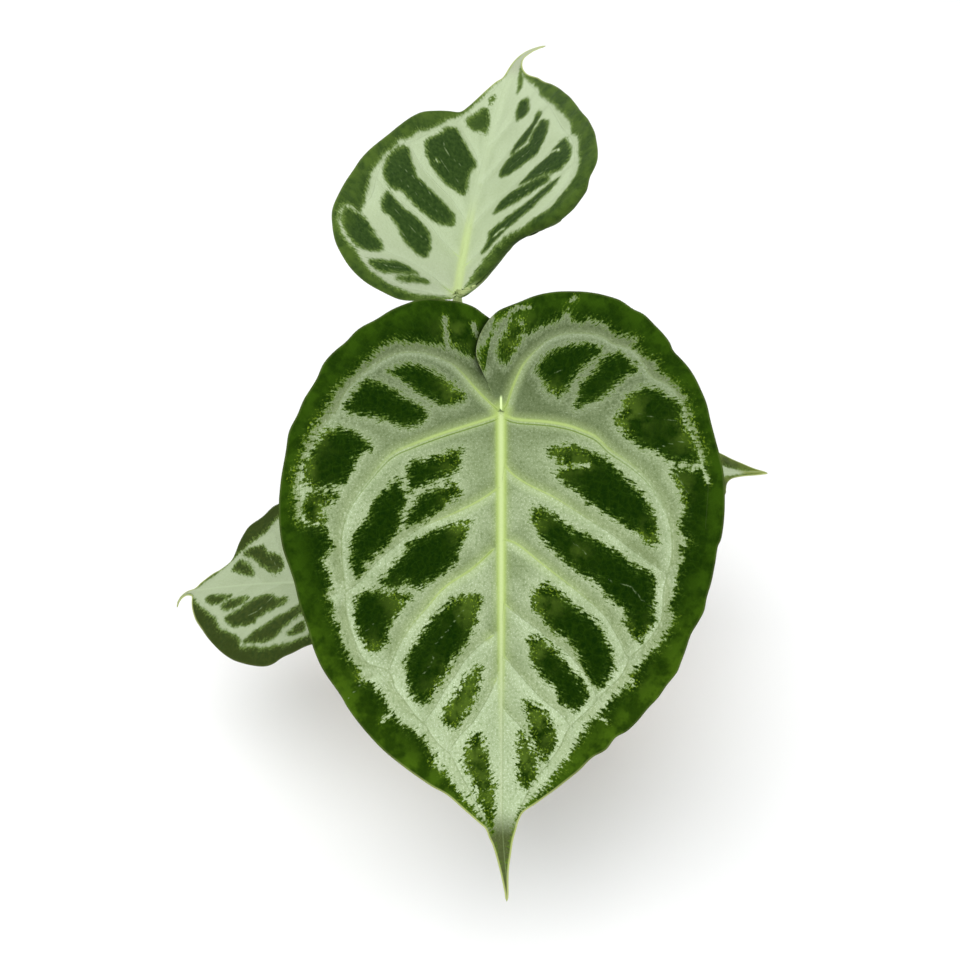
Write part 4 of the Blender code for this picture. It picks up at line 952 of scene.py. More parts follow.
def skins(leaf, flats, owner, run, sheet, faces, fields):
    # quilted upper and lower skins, with the veins raised on both and the midrib sunk above
    normals = sheetNormals(sheet, faces)
    width = np.maximum(flats[:, 1], 0.0)
    far = np.clip(flats[:, 0] / leaf["length"], 0.0, 1.0)
    gap = np.abs(fields["vein"])
    vein = np.clip(fields["veinWidth"], 0.0, 1.0)
    thinVein = 1.0 - np.clip(fields["veinWidth"] / relief["fullVein"], 0.0, 1.0)
    toRib = np.minimum(gap + relief["thinVeinGap"] * thinVein, width)
    onRib = smooth(flats[:, 0], -2.0, 1.0)
    pillow = leaf["quilt"] * (1.0 - hump(toRib, relief["quiltReach"]))
    pillow *= smooth(fields["rim"], 0.0, relief["quiltMargin"])
    valley = relief["valley"] * hump(width, relief["valleyReach"]) * (1.0 - far) ** 0.5 * onRib
    wave = marginWave(leaf, owner, run, fields["rim"], width)
    sheet = sheet + normals * (pillow - valley + wave)[:, None]

    ridge = relief["ridge"] * hump(width, relief["ridgeReach"]) * (1.0 - far) ** 0.5 * onRib
    ridge += relief["veinRidge"] * hump(gap, relief["veinReach"]) * vein
    keelHeight = relief["keel"] * (1.0 - far) ** 0.7 + relief["keelEnd"]
    keel = keelHeight * hump(width, relief["keelReach"] - relief["keelTaper"] * far) * onRib
    keel += relief["veinKeel"] * hump(gap, relief["veinReach"]) * vein
    thick = relief["rimThin"] + (1.0 - relief["rimThin"]) * smooth(fields["rim"], 0.0, relief["rimReach"])
    thick *= blade["thickness"] / 2.0
    top = sheet + normals * (thick + ridge)[:, None]
    under = sheet - normals * (thick + keel)[:, None]
    return sheet, normals, top, under


def rimLoop(faces):
    # the sheet's border in order, and the next and the last vertex of each one on it
    seen = set()
    for face in faces:
        seen.update(zip(face, face[1:] + face[:1]))
    border = [edge for face in faces for edge in zip(face, face[1:] + face[:1]) if edge[::-1] not in seen]
    order = [border[0][0]]
    after = dict(border)
    while after[order[-1]] != order[0]:
        order.append(after[order[-1]])
    return order, after, {end: start for start, end in border}


def bakeLayout(piece, shell, picks, signs, flats):
    # one flat place for each corner: the four sheets lie side by side, tips up
    spread = 0.48 / (2.0 * (np.max(flats[:, 1]) + 14.0))
    lowest, highest = np.min(flats[:, 0]), np.max(flats[:, 0])
    tall = 0.96 / (highest - lowest + 4.0)
    places = []
    for face, pick, sign in zip(shell, picks, signs):
        for vertex in face:
            across = 0.25 + 0.5 * pick + sign * (flats[vertex][1] + 12.0) * spread
            places += [across, 0.02 + (flats[vertex][0] - lowest) * tall]
    piece.data.uv_layers.new(name="OFBake").data.foreach_set("uv", places)


def makeLeaf(name, leaf, finishes):
    midrib = midribFrame(leaf)
    flats, owner, step, faces, faceSides, rayStart = bladeGrid(leaf)
    count = len(flats)
    fields = patternAndShadeFields(leaf, flats, owner)
    sheet = np.zeros((count, 3))
    for side in ("right", "left"):
        sheet[owner == side] = placed(leaf, midrib, side, flats[owner == side])
    run = step / leaf["steps"] * (relief["marginLength"] * leaf["length"])
    sheet, normals, top, under = skins(leaf, flats, owner, run, sheet, faces, fields)

    order, after, before = rimLoop(faces)
    tangent = sheet[[after[vertex] for vertex in order]] - sheet[[before[vertex] for vertex in order]]
    outward = np.cross(tangent, normals[order])
    outward /= np.maximum(np.linalg.norm(outward, axis=1), 1e-6)[:, None]
    points = np.vstack([top, under, sheet[order] + relief["rimBulge"] * outward])
    middle = {vertex: 2 * count + number for number, vertex in enumerate(order)}
    shell = [tuple(face) for face in faces]
    shell += [tuple(vertex + count for vertex in reversed(face)) for face in faces]
    picks = [0] * len(faces) + [1] * len(faces)
    sides = faceSides * 2
    for start, end in zip(order, order[1:] + order[:1]):
        shell.append((start, middle[start], middle[end], end))
        shell.append((middle[start], start + count, end + count, middle[end]))
        picks += [0, 1]
        sides += [owner[start]] * 2

    sign = np.where(owner == "right", 1.0, -1.0)
    fields["flat"] = np.stack([flats[:, 0], sign * flats[:, 1], np.zeros(count)], axis=1)
    # run along a ray from the midrib, and along the margin from one ray to the next
    reach = np.hypot(flats[:, 0] - rayStart, flats[:, 1])
    fields["flow"] = np.stack([reach, run / 2.0, 50.0 * sign], axis=1)
    for key, values in fields.items():
        fields[key] = np.concatenate([values, values, values[order]])
    stands = ("leaf_" + name[4:].lower(),)
    piece = addPiece(name, points, shell, finishes, stands, picks=picks, fields=fields)
    signs = [1.0 if side == "right" else -1.0 for side in sides]
    bakeLayout(piece, shell, picks, signs, np.concatenate([flats, flats, flats[order]]))
    print(name, len(shell), "faces")


class Velvet(Finish):
    # upper skin of a leaf: silver over dark green, parted by ragged edges, with golden veins
    def __init__(self, name, leaf, look):
        super().__init__(name, roughness=0.6, gloss=look["gloss"])
        self.leaf, self.look = leaf, look
        self.flat = flat = self.read("flat", 1)
        flow = self.read("flow", 1)
        self.comb = self.speckle(self.scaled(flow, (0.3, 1.15, 1.0)), 1.0, 3.0, 0.62) - 0.5
        self.frills = self.speckle(flat, 1.0, 3.0, 0.65, 0.3) - 0.5
        lobes = self.speckle(flat, 0.28, 2.0, 0.5, 0.3) - 0.5
        spots = self.speckle(flat, 0.6, 3.0, 0.6, 0.6) - 0.5
        self.grain = self.speckle(flat, 0.85, 3.0, 0.6)
        self.fine = self.speckle(flat, 1.7, 1.0, 0.5)
        self.shade = self.speckle(flat, 0.45, 3.0, 0.55).ease(0.3, 0.7)
        self.mottle = self.read("mottle")
        ragged = self.comb * look["comb"] + self.frills * look["frills"] + lobes * 4.0
        ragged = (ragged + spots * self.mottle * 15.0) * leaf["soft"]
        self.edge = self.read("silver") + ragged + (self.grain - 0.5) * look["grain"] * 2.0
        self.silver = self.edge.ease(-look["blur"] * 0.4, look["blur"] * 1.6)

        self.a = self.node("SeparateXYZ", {}, {0: flat}, 0)
        self.b = self.node("SeparateXYZ", {}, {0: flat}, 1)
        self.onRib = self.a.ease(-1.5, 1.0)
        self.ribShare = self.a.ease(leaf["gold"] * 0.55, leaf["gold"] * 1.15)
        self.tipShare = self.down(0.8, 0.87)
        self.vein = abs(self.read("vein"))
        self.width = width = self.read("veinWidth")
        self.gold = self.read("gold")
        self.halo = (1.0 - (self.vein / 5.0).ease(0.0, 1.0)) * width.ease(0.1, 0.6)
        self.core = (1.0 - (self.vein / (width * 0.5 + 0.06)).ease(0.4, 1.25)) * width.ease(0.05, 0.3)
        creaseShadow = abs(self.read("creaseShadow"))
        self.creaseShadow = (1.0 - (creaseShadow / 0.36).ease(0.3, 1.2)) * width.ease(0.65, 1.0)

    def down(self, low, high):
        # 0 above one share of the midrib's length, 1 below the other
        return self.a.ease(self.leaf["length"] * low, self.leaf["length"] * high)

    def silverTone(self):
        look, a, b = self.look, self.a, self.b
        # painted shade: the silver near the stalk and on the lobes is darkened as if in shade
        tone = self.blend(a.ease(-24.0, 34.0), look["silverShadedTop"], look["silver"])
        tone = self.blend(self.down(0.3, 0.8), tone, look["silverLow"])
        cloud = self.speckle(self.flat, 0.07, 2.0, 0.5).ease(0.36, 0.64)
        tone = self.blend(cloud * a.ease(-10.0, 70.0) * 0.4, tone, look["silverPale"])
        frost = 1.0 - (self.edge / 6.0).ease(0.0, 1.0)
        tone = self.blend((frost * look["frost"]).most(self.halo * 0.4), tone, look["silverPale"])
        tone = self.blend(self.tipShare, tone, look["tip"])
        # painted light and shade: each vein's flank towards the tip is lightened and the other darkened,
        # as the lit and shaded sides of the quilting
        paintedFlankShading = self.read("paintedFlankShading") * (1.0 - self.down(0.4, 0.85) * 0.6)
        lit, unlit = paintedFlankShading.ease(0.0, 1.0), (0.0 - paintedFlankShading).ease(0.0, 1.0)
        tone = self.blend(lit * look["paintedFlankShading"], tone, look["flankPaintedLight"], "MULTIPLY")
        tone = self.blend(unlit * look["paintedFlankShading"], tone, look["flankPaintedShade"], "MULTIPLY")
        # painted glints: fine pale sparkles of the velvet brighten the silver; the pits are the skin's own
        # darker grain
        pits, paintedGlints = self.grain.ease(0.46, 0.7) * 0.8, self.fine.ease(0.52, 0.68)
        tone = self.blend(pits * look["grain"], tone, look["grainDark"], "MULTIPLY")
        tone = self.blend(paintedGlints * look["grain"], tone, look["grainPaintedGlint"], "MULTIPLY")
        glow = (1.0 - (abs(b) / 6.0).ease(0.0, 1.0)) * (1.0 - self.ribShare) * self.onRib * 0.35
        junction = 1.0 - ((a * a + b * b).math("SQRT") / 8.0).ease(0.1, 1.0)
        haze = glow.most(self.halo * self.gold * 0.22).most(junction * 0.8)
        return self.blend(haze, tone, look["goldHaze"])

    def darkTone(self):
        look = self.look
        rimShare = 1.0 - (self.read("rim") / 16.0).ease(0.1, 1.0)
        coarse = self.speckle(self.flat, 0.11, 3.0, 0.6).ease(0.38, 0.62)
        deep = self.blend(self.shade, look["dark"], look["darkWarm"])
        margin = self.blend(self.down(0.3, 0.6), look["margin"], look["marginLow"])
        deep = self.blend(rimShare * (coarse * 0.75 + 0.25), deep, margin)
        deep = self.blend(self.mottle * coarse * (1.0 - rimShare) * 0.5, deep, look["vergeColour"])
        net = (1.0 - self.cells(self.flat, 0.3).ease(0.0, 0.06)) * look["net"]
        deep = self.blend(net, deep, look["netGreen"])
        hairs = (self.comb + self.frills).ease(-0.08, 0.16) * look["fringeShare"]
        deep = self.blend(self.edge.ease(-4.5 * self.leaf["soft"], 0.0) * hairs, deep, look["fringe"])
        flecked = self.mottle.ease(0.1, 0.6).most(rimShare * 0.6)
        flecks = self.edge.ease(-3.2, -0.3) * flecked * self.frills.ease(0.02, 0.12)
        deep = self.blend(flecks * 0.8, deep, look["fleck"])
        hair = 1.0 - (self.read("hair") + self.frills * 0.8).ease(0.1, 0.6)
        deep = self.blend(hair * look["hairShare"], deep, look["hair"])
        verge = self.edge.ease(-look["blur"] * 1.7, look["blur"] * 0.4)
        return self.blend(verge * look["verge"], deep, look["vergeColour"])

    def veined(self, colour):
        # side veins, and the crease beside the thick ones: a groove with a painted shadow line
        look = self.look
        shoulder = 1.0 - (self.vein / (self.width * 1.1 + 0.2)).ease(0.2, 1.0)
        shoulder = shoulder * self.width.ease(0.25, 0.9)
        colour = self.blend(shoulder * self.gold * 0.45, colour, look["goldHaze"])
        thread = self.blend(self.gold, look["thread"], look["gold"])
        shown = (self.gold * 0.75).most((self.silver * 0.9 + 0.1) * look["threads"])
        colour = self.blend(self.core * shown, colour, thread)
        # painted shadow: a dark line along the crease beside the thick veins
        return self.blend(self.creaseShadow * 0.85, colour, look["creaseShadow"])

    def ribbed(self, colour):
        # golden midrib that fades to a thread, and the pale sliver of stalk in the cleft with its painted
        # highlight
        look, rib, ribShare, onRib = self.look, abs(self.b), self.ribShare, self.onRib
        ribWide, ribNarrow = self.leaf["midribWidth"]
        far = (self.a / self.leaf["length"]).ease(0.0, 1.0)
        ribHalf = (1.0 - far) * (ribWide - ribNarrow) + ribNarrow
        side = (1.0 - (rib / (ribHalf * 2.3)).ease(0.25, 1.0)) * onRib
        colour = self.blend(side * (1.0 - ribShare), colour, look["goldHaze"])
        core = (1.0 - (rib / ribHalf).ease(0.1, 1.35)) * onRib
        ribColour = self.blend(ribShare, look["rib"], look["ribEnd"])
        ribColour = self.blend(self.tipShare, ribColour, look["tip"])
        colour = self.blend(core * (1.0 - ribShare * 0.45), colour, ribColour)
        line = (1.0 - (abs(self.b + 0.75) / 0.3).ease(0.3, 1.2)) * ribShare * onRib * 0.45
        colour = self.blend(line, colour, look["thread"])
        # painted highlight: a pale sliver for the stalk's glossy top seen in the cleft
        sliverHighlight = (1.0 - (rib / 0.6).ease(0.4, 1.2)) * self.a.ease(-8.0, -6.0) * (1.0 - onRib)
        return self.blend(sliverHighlight * look["sliverHighlight"], colour, look["sliverHighlightColour"])

    def finished(self):
        look = self.look
        colour = self.blend(self.silver, self.darkTone(), self.silverTone())
        colour = self.ribbed(self.veined(colour))
        lip = 1.0 - (self.read("rim") / look["lip"]).ease(0.15, 1.0)
        colour = self.blend(lip * (self.down(0.64, 0.84) * 0.82 + 0.08), colour, look["lipColour"])
        # painted shadow of the overlapping lobe on the lobe beneath
        colour = self.blend(self.read("shade") * 0.9, colour, look["shadow"], "MULTIPLY")
        height = self.grain * 0.45 + self.fine * 0.3 + self.core * 0.6 - self.creaseShadow * 0.6
        return self.dress(colour, 0.66 - self.silver * 0.12, height + self.shade * 0.5, 0.2)


def underFinish(name, look):
    # lower skin: matt pale green with lighter ribs and a ghost of the pattern above
    skin = Finish(name, roughness=0.62, gloss=0.25)
    flat = skin.read("flat", 1)
    a = skin.node("SeparateXYZ", {}, {0: flat}, 0)
    b = abs(skin.node("SeparateXYZ", {}, {0: flat}, 1))
    grain = skin.speckle(flat, 1.3, 3.0, 0.6)
    cloud = skin.speckle(flat, 0.08, 3.0, 0.55)
    ghost = (skin.read("silver") + (skin.speckle(flat, 0.6, 2.0, 0.6) - 0.5) * 4.0).ease(-2.0, 2.0)
    base = skin.blend(ghost * 0.6, look["underDark"], look["underPale"])
    base = skin.blend(cloud.ease(0.4, 0.65) * 0.35, base, look["underBlush"])
    base = skin.blend(grain.ease(0.45, 0.7) * 0.3, base, look["underGrain"])
    net = 1.0 - skin.cells(flat, 0.4).ease(0.0, 0.09)
    base = skin.blend(net * 0.35, base, look["underNet"])
    width = skin.read("veinWidth")
    rib = (1.0 - (abs(skin.read("vein")) / (width + 0.5)).ease(0.4, 1.3)) * width.ease(0.05, 0.4)
    middle = (1.0 - (b / 2.2).ease(0.4, 1.3)) * a.ease(-2.0, 1.0)
    colour = skin.blend(rib.most(middle), base, look["underRib"])
    lip = 1.0 - (skin.read("rim") / 0.8).ease(0.2, 1.0)
    colour = skin.blend(lip * 0.35, colour, look["lipColour"])
    height = net * 0.6 + grain * 0.4
    return skin.dress(colour, 0.55 + grain * 0.15, height, 0.14)


frontLook = {
    "silverShadedTop": (0.078, 0.108, 0.042), "silver": (0.21, 0.268, 0.13), "silverLow": (0.37, 0.455, 0.26),
    "silverPale": (0.42, 0.50, 0.30), "frost": 0.3, "grain": 0.9, "grainDark": (0.50, 0.57, 0.40),
    "grainPaintedGlint": (1.6, 1.52, 1.85), "tip": (0.070, 0.092, 0.028), "goldHaze": (0.34, 0.45, 0.12),
    "gold": (0.36, 0.47, 0.15), "rib": (0.48, 0.585, 0.26), "ribEnd": (0.44, 0.51, 0.30),
    "thread": (0.19, 0.25, 0.10), "threads": 0.5, "creaseShadow": (0.12, 0.19, 0.02), "sliverHighlight": 0.9,
    "sliverHighlightColour": (0.68, 0.84, 0.40), "dark": (0.0035, 0.0165, 0.0003),
    "darkWarm": (0.0085, 0.026, 0.0004), "margin": (0.024, 0.060, 0.002),
    "marginLow": (0.045, 0.095, 0.004), "net": 0.15, "netGreen": (0.03, 0.08, 0.004),
    "fringe": (0.06, 0.12, 0.012), "fringeShare": 0.35, "fleck": (0.20, 0.30, 0.012),
    "hair": (0.20, 0.27, 0.13), "hairShare": 0.6, "comb": 10.0, "frills": 5.0, "blur": 0.75,
    "gloss": 0.015, "paintedFlankShading": 1.0, "flankPaintedLight": (1.11, 1.11, 1.15), "flankPaintedShade": (0.76, 0.78, 0.68),
    "verge": 0.65, "vergeColour": (0.12, 0.20, 0.022), "shadow": (0.1, 0.13, 0.08), "lip": 1.0,
    "lipColour": (0.42, 0.47, 0.17), "underDark": (0.12, 0.2, 0.06), "underPale": (0.2, 0.3, 0.11),
    "underBlush": (0.2, 0.2, 0.09), "underGrain": (0.26, 0.36, 0.16), "underNet": (0.3, 0.4, 0.17),
    "underRib": (0.42, 0.5, 0.2),
}
youngLook = dict(
    frontLook, paintedFlankShading=0.2, silverShadedTop=(0.37, 0.42, 0.28), silver=(0.39, 0.465, 0.28),
    silverLow=(0.41, 0.485, 0.30), silverPale=(0.44, 0.52, 0.33), frost=0.05, grain=0.2,
    goldHaze=(0.41, 0.50, 0.22), gold=(0.44, 0.58, 0.22), rib=(0.44, 0.54, 0.24),
    ribEnd=(0.41, 0.49, 0.30), thread=(0.36, 0.43, 0.26), threads=0.08, sliverHighlight=0.0,
    tip=(0.34, 0.38, 0.25), dark=(0.014, 0.038, 0.003), darkWarm=(0.032, 0.066, 0.009),
    margin=(0.060, 0.108, 0.012), net=0.08, netGreen=(0.06, 0.12, 0.02), fringe=(0.13, 0.20, 0.04),
    fringeShare=0.75, fleck=(0.13, 0.2, 0.03), hair=(0.24, 0.31, 0.15), hairShare=0.8, comb=7.0,
    frills=3.5, blur=1.0, gloss=0.1, marginLow=(0.060, 0.108, 0.012), verge=0.55,
    vergeColour=(0.15, 0.23, 0.05),
)
lowLook = dict(
    youngLook, blur=0.8, comb=5.0, dark=(0.020, 0.040, 0.003), darkWarm=(0.038, 0.058, 0.006),
    silverShadedTop=(0.30, 0.35, 0.21), silver=(0.32, 0.38, 0.23), silverLow=(0.34, 0.40, 0.245),
    silverPale=(0.37, 0.44, 0.27), margin=(0.026, 0.042, 0.003), marginLow=(0.026, 0.042, 0.003),
)
rightLook = dict(
    lowLook, margin=(0.080, 0.125, 0.012), marginLow=(0.10, 0.14, 0.016), tip=(0.20, 0.24, 0.05),
)

for leafName, leaf, look in (("Front", frontLeaf, frontLook), ("Back", backLeaf, youngLook),
                             ("Left", leftLeaf, lowLook), ("Right", rightLeaf, rightLook)):
    topSkin = Velvet("velvetTop" + leafName, leaf, look).finished()
    underSkin = underFinish("paleUnder" + leafName, look)
    makeLeaf("leaf" + leafName, leaf, [topSkin, underSkin])


def gridFaces(rows, columns, closed=True):
    faces = []
    for row in range(rows - 1):
        low, high = row * columns, (row + 1) * columns
        for column in range(columns if closed else columns - 1):
            ahead = (column + 1) % columns
            faces.append((low + column, low + ahead, high + ahead, high + column))
    return faces


def closedRings(rings, first, last):
    # rings of points joined in order, closed by a middle point at each end
    count, sides = rings.shape[:2]
    faces = gridFaces(count, sides)
    base = count * sides
    for number in range(sides):
        ahead = (number + 1) % sides
        faces.append((base, ahead, number))
        faces.append((base + 1, base - sides + number, base - sides + ahead))
    return np.vstack([rings.reshape(-1, 3), first, last]), faces


def tube(path, radii, first=(0.3, 0.9, 0.1)):
    # a tube with one row of radii for each ring; skin places run round and along it
    rings, sides = radii.shape
    along = np.gradient(path, axis=0)
    along /= np.linalg.norm(along, axis=1)[:, None]
    side = np.array(first, float)
    across = []
    for forward in along:
        side = side - forward * (side @ forward)
        side /= np.linalg.norm(side)
        across.append(side)
    across = np.array(across)
    other = np.cross(along, across)
    angle = 2.0 * math.pi * np.arange(sides) / sides
    reach = across[:, None, :] * np.cos(angle)[None, :, None]
    reach = reach + other[:, None, :] * np.sin(angle)[None, :, None]
    points, faces = closedRings(path[:, None, :] + reach * radii[:, :, None], path[0], path[-1])
    run = np.concatenate([[0.0], np.cumsum(np.linalg.norm(np.diff(path, axis=0), axis=1))])
    skin = np.zeros((rings, sides, 3))
    skin[:, :, 0] = np.cos(angle) * radii.mean()
    skin[:, :, 1] = np.sin(angle) * radii.mean()
    skin[:, :, 2] = run[:, None]
    skin = np.vstack([skin.reshape(-1, 3), [(0.0, 0.0, run[0]), (0.0, 0.0, run[-1])]])
    return points, faces, skin


def turned(profile, segments):
    # turns (radius, height) points about the upright axis, which both ends lie on
    angle = 2.0 * math.pi * np.arange(segments) / segments
    rings = np.zeros((len(profile) - 2, segments, 3))
    for ring, (radius, height) in zip(rings, profile[1:-1]):
        ring[:, 0] = radius * np.cos(angle)
        ring[:, 1] = radius * np.sin(angle)
        ring[:, 2] = height
    return closedRings(rings, (0.0, 0.0, profile[0][1]), (0.0, 0.0, profile[-1][1]))


def roundPlaces(angle, height, radius):
    # a place on a plain cylinder for each angle at each height
    angle, height = np.meshgrid(angle, height)
    return np.stack([radius * np.cos(angle), radius * np.sin(angle), height], axis=2).reshape(-1, 3)


def bumps(points, scale, seed=0.0):
    offset = Vector((seed, 2.0 * seed, 0.0))
    return np.array([noise.noise(Vector(point) * scale + offset) for point in points])


# Leaf stalks: grooved, striped lengthways, winged at the foot, swollen and paler under the leaf.
stalk = {
    "grooveWidth": 0.42, "ribs": 11, "ribDepth": 0.018, "wrinkle": 0.06,
    "sides": 36, "spacing": 0.8, "baseRadius": 3.3, "middleRadius": 2.1, "topRadius": 1.9, "flare": 18.0,
    "jointSwell": 0.9, "jointLength": 13.0, "groove": 0.15, "wing": 0.6, "wingLength": 13.0, "gap": 0.9,
    "green": (0.17, 0.26, 0.06), "greenDark": (0.09, 0.15, 0.03), "joint": (0.34, 0.43, 0.15),
    "foot": (0.36, 0.38, 0.20), "stripe": (0.28, 0.36, 0.13), "fleck": (0.16, 0.10, 0.04),
}
stalkRoutes = {
    "Front": (frontLeaf, 4.0, [(-2.0, -10.9, 108.0), (-2.5, -14.0, 150.0), (-1.0, -22.0, 192.0),
                               (1.0, -38.0, 211.0)]),
    "Back": (backLeaf, 4.0, [(1.6, 10.8, 108.0), (-1.0, 15.0, 150.0), (-10.5, 28.0, 184.0),
                             (-18.0, 42.5, 202.0)]),
    "Left": (leftLeaf, 5.0, [(-10.6, 0.4, 108.0), (-20.0, -10.0, 129.0), (-42.0, -34.0, 133.0),
                             (-65.0, -60.0, 123.0)]),
    "Right": (rightLeaf, 7.0, [(10.9, -0.4, 108.0), (17.0, -2.5, 132.0), (34.0, -7.5, 143.0),
                               (53.5, -14.0, 144.5)]),
}


def stalkFinish():
    skin = Finish("stalkSkin", roughness=0.45, gloss=0.4)
    place = skin.read("skin", 1)
    stripes = skin.speckle(skin.scaled(place, (1.6, 1.6, 0.05)), 1.0, 3.0, 0.6)
    mottled = skin.speckle(skin.scaled(place, (0.5, 0.5, 0.12)), 1.0, 3.0, 0.6)
    fine = skin.speckle(place, 2.2, 2.0, 0.6)
    flecks = skin.cells(skin.scaled(place, (0.7, 0.7, 0.28)), 1.0, "F1")
    fromFoot = skin.read("fromFoot")
    fromTop = skin.read("fromTop")
    colour = skin.blend(mottled.ease(0.35, 0.65), stalk["greenDark"], stalk["green"])
    colour = skin.blend(stripes.ease(0.48, 0.68) * 0.6, colour, stalk["stripe"])
    colour = skin.blend(1.0 - (fromFoot + mottled * 8.0).ease(4.0, 26.0), colour, stalk["foot"])
    joint = 1.0 - (fromTop + (mottled - 0.5) * 16.0).ease(8.0, 30.0)
    colour = skin.blend(joint * 0.85, colour, stalk["joint"])
    colour = skin.blend((1.0 - flecks.ease(0.06, 0.16)) * 0.65, colour, stalk["fleck"])
    colour = skin.blend(fine.ease(0.5, 0.7) * 0.25, colour, stalk["stripe"])
    return skin.dress(colour, 0.42 + fine * 0.16, stripes * 0.6 + fine * 0.3, 0.22)


def makeStalk(name, leaf, liftOff, route, finish):
    rows = midribFrame(leaf)
    joint, normal = rows[0][0], rows[3][0]
    end = joint - normal * stalk["gap"]
    x, y, z = route[0]
    route = [(0.55 * x, 0.55 * y, z - 6.0)] + route + [tuple(end - normal * liftOff), tuple(end)]
    length = sum(math.dist(first, second) for first, second in zip(route, route[1:]))
    count = int(length / stalk["spacing"])
    path = through(route, count)
    for _ in range(10):
        path[1:-1] = (path[:-2] + path[1:-1] * 2.0 + path[2:]) / 4.0
    share = np.linspace(0.0, 1.0, count)
    run, fromTop = share * length, (1.0 - share) * length
    radius = stalk["middleRadius"] + (stalk["topRadius"] - stalk["middleRadius"]) * share
    radius += (stalk["baseRadius"] - stalk["middleRadius"]) * np.exp(-run / stalk["flare"])
    radius += stalk["jointSwell"] * hump(fromTop - stalk["jointLength"], stalk["jointLength"])
    radius += stalk["wrinkle"] * np.sin(fromTop * 2.3) * hump(fromTop - 9.0, 7.0)
    angle = 2.0 * math.pi * np.arange(stalk["sides"]) / stalk["sides"]
    toGroove = (angle - 1.5 * math.pi) / stalk["grooveWidth"]
    shape = 1.0 - stalk["groove"] * np.exp(-(toGroove**2))[None, :] * smooth(fromTop, 12.0, 30.0)[:, None]
    shape += stalk["ribDepth"] * np.cos(stalk["ribs"] * angle)[None, :]
    wing = stalk["wing"] * np.exp(-run / stalk["wingLength"])
    shape += wing[:, None] * np.abs(np.cos(angle))[None, :] ** 3
    outward = Vector((x, y, 0.0)).normalized()
    points, faces, skin = tube(path, radius[:, None] * shape, (-outward.y, outward.x, 0.0))
    fields = {"skin": skin, "fromFoot": skin[:, 2], "fromTop": length - skin[:, 2]}
    stands = ("petiole_" + name.lower(),)
    addPiece("stalk" + name, points, faces, [finish], stands, fields=fields)


stalkSkin = stalkFinish()
for stalkName, (leaf, liftOff, route) in stalkRoutes.items():
    makeStalk(stalkName, leaf, liftOff, route, stalkSkin)
print("stalks ready")

# Stem: ringed by the scars of old leaves, knobbly where roots break out.
stem = {
    "sides": 72, "rings": 190, "bottom": 84.0, "top": 127.0, "ringSpacing": 5.17, "ringDepth": 0.55,
    "profile": [(84.0, 4.9), (86.0, 6.8), (119.0, 7.0), (121.5, 6.1), (125.0, 4.0), (127.0, 0.8)],
    "bark": (0.13, 0.105, 0.045), "green": (0.15, 0.19, 0.055), "scar": (0.33, 0.26, 0.15),
    "dark": (0.035, 0.026, 0.014),
}


def makeStem():
    skin = Finish("stemSkin", roughness=0.7, gloss=0.3)
    place = skin.read("skin", 1)
    grain = skin.speckle(place, 1.1, 4.0, 0.65)
    cloud = skin.speckle(place, 0.22, 3.0, 0.6, 0.5)
    ring = skin.read("ring")
    colour = skin.blend(cloud.ease(0.38, 0.62), stem["bark"], stem["green"])
    colour = skin.blend((ring + (grain - 0.5) * 0.6).ease(0.55, 0.9) * 0.8, colour, stem["scar"])
    colour = skin.blend((1.0 - (ring + (grain - 0.5) * 0.4).ease(0.02, 0.3)) * 0.8, colour, stem["dark"])
    colour = skin.blend(grain.ease(0.55, 0.75) * 0.5, colour, stem["dark"])
    finish = skin.dress(colour, 0.6 + grain * 0.3, grain + cloud * 0.6, 0.5)

    height = np.linspace(stem["bottom"], stem["top"], stem["rings"])
    path = np.stack([np.zeros(len(height)), np.zeros(len(height)), height], axis=1)
    angle = 2.0 * math.pi * np.arange(stem["sides"]) / stem["sides"]
    radius = np.interp(height, *np.array(stem["profile"]).T)
    tilt = 0.9 * np.sin(angle[None, :] + height[:, None] / 9.0)
    wave = 0.5 + 0.5 * np.cos(2.0 * math.pi * (height[:, None] + tilt - 88.0) / stem["ringSpacing"])
    radii = radius[:, None] - stem["ringDepth"] * wave**3 * np.minimum(radius / 6.0, 1.0)[:, None]
    around = roundPlaces(angle, height, 7.0)
    radii += 0.35 * bumps(around, 0.35, 3.0).reshape(radii.shape)
    radii += 0.12 * bumps(around, 1.2).reshape(radii.shape)
    points, faces, skinPlace = tube(path, np.maximum(radii, 0.3), (1.0, 0.0, 0.0))
    fields = {"skin": skinPlace, "ring": np.append(1.0 - wave.ravel(), [0.5, 0.5])}
    addPiece("stemCore", points, faces, [finish], ("stem",), fields=fields)
    print("stem ready")


makeStem()

# Sheaths: dry papery scales that wrap the stem's top beside the stalks.
sheath = {
    "rows": 90, "columns": 31, "hug": 7.25, "innerRadius": 8.6, "foot": 107.8, "start": 100.5,
    "halfWidth": 23.0,
    "thickness": 0.28, "ribs": 7, "ribDepth": 0.1, "tear": 0.10, "curl": 0.5, "sway": 0.6, "tipBend": 1.6,
    # direction, length and lean of each
    "scales": {1: (-47.0, 34.0, 9.0), 2: (38.0, 42.0, 6.0),
               3: (124.0, 30.0, 10.0), 4: (-140.0, 38.0, 7.0)},
    "paper": (0.36, 0.23, 0.105), "pale": (0.52, 0.39, 0.21), "rib": (0.20, 0.11, 0.045),
    "greenFoot": (0.22, 0.20, 0.08),
}


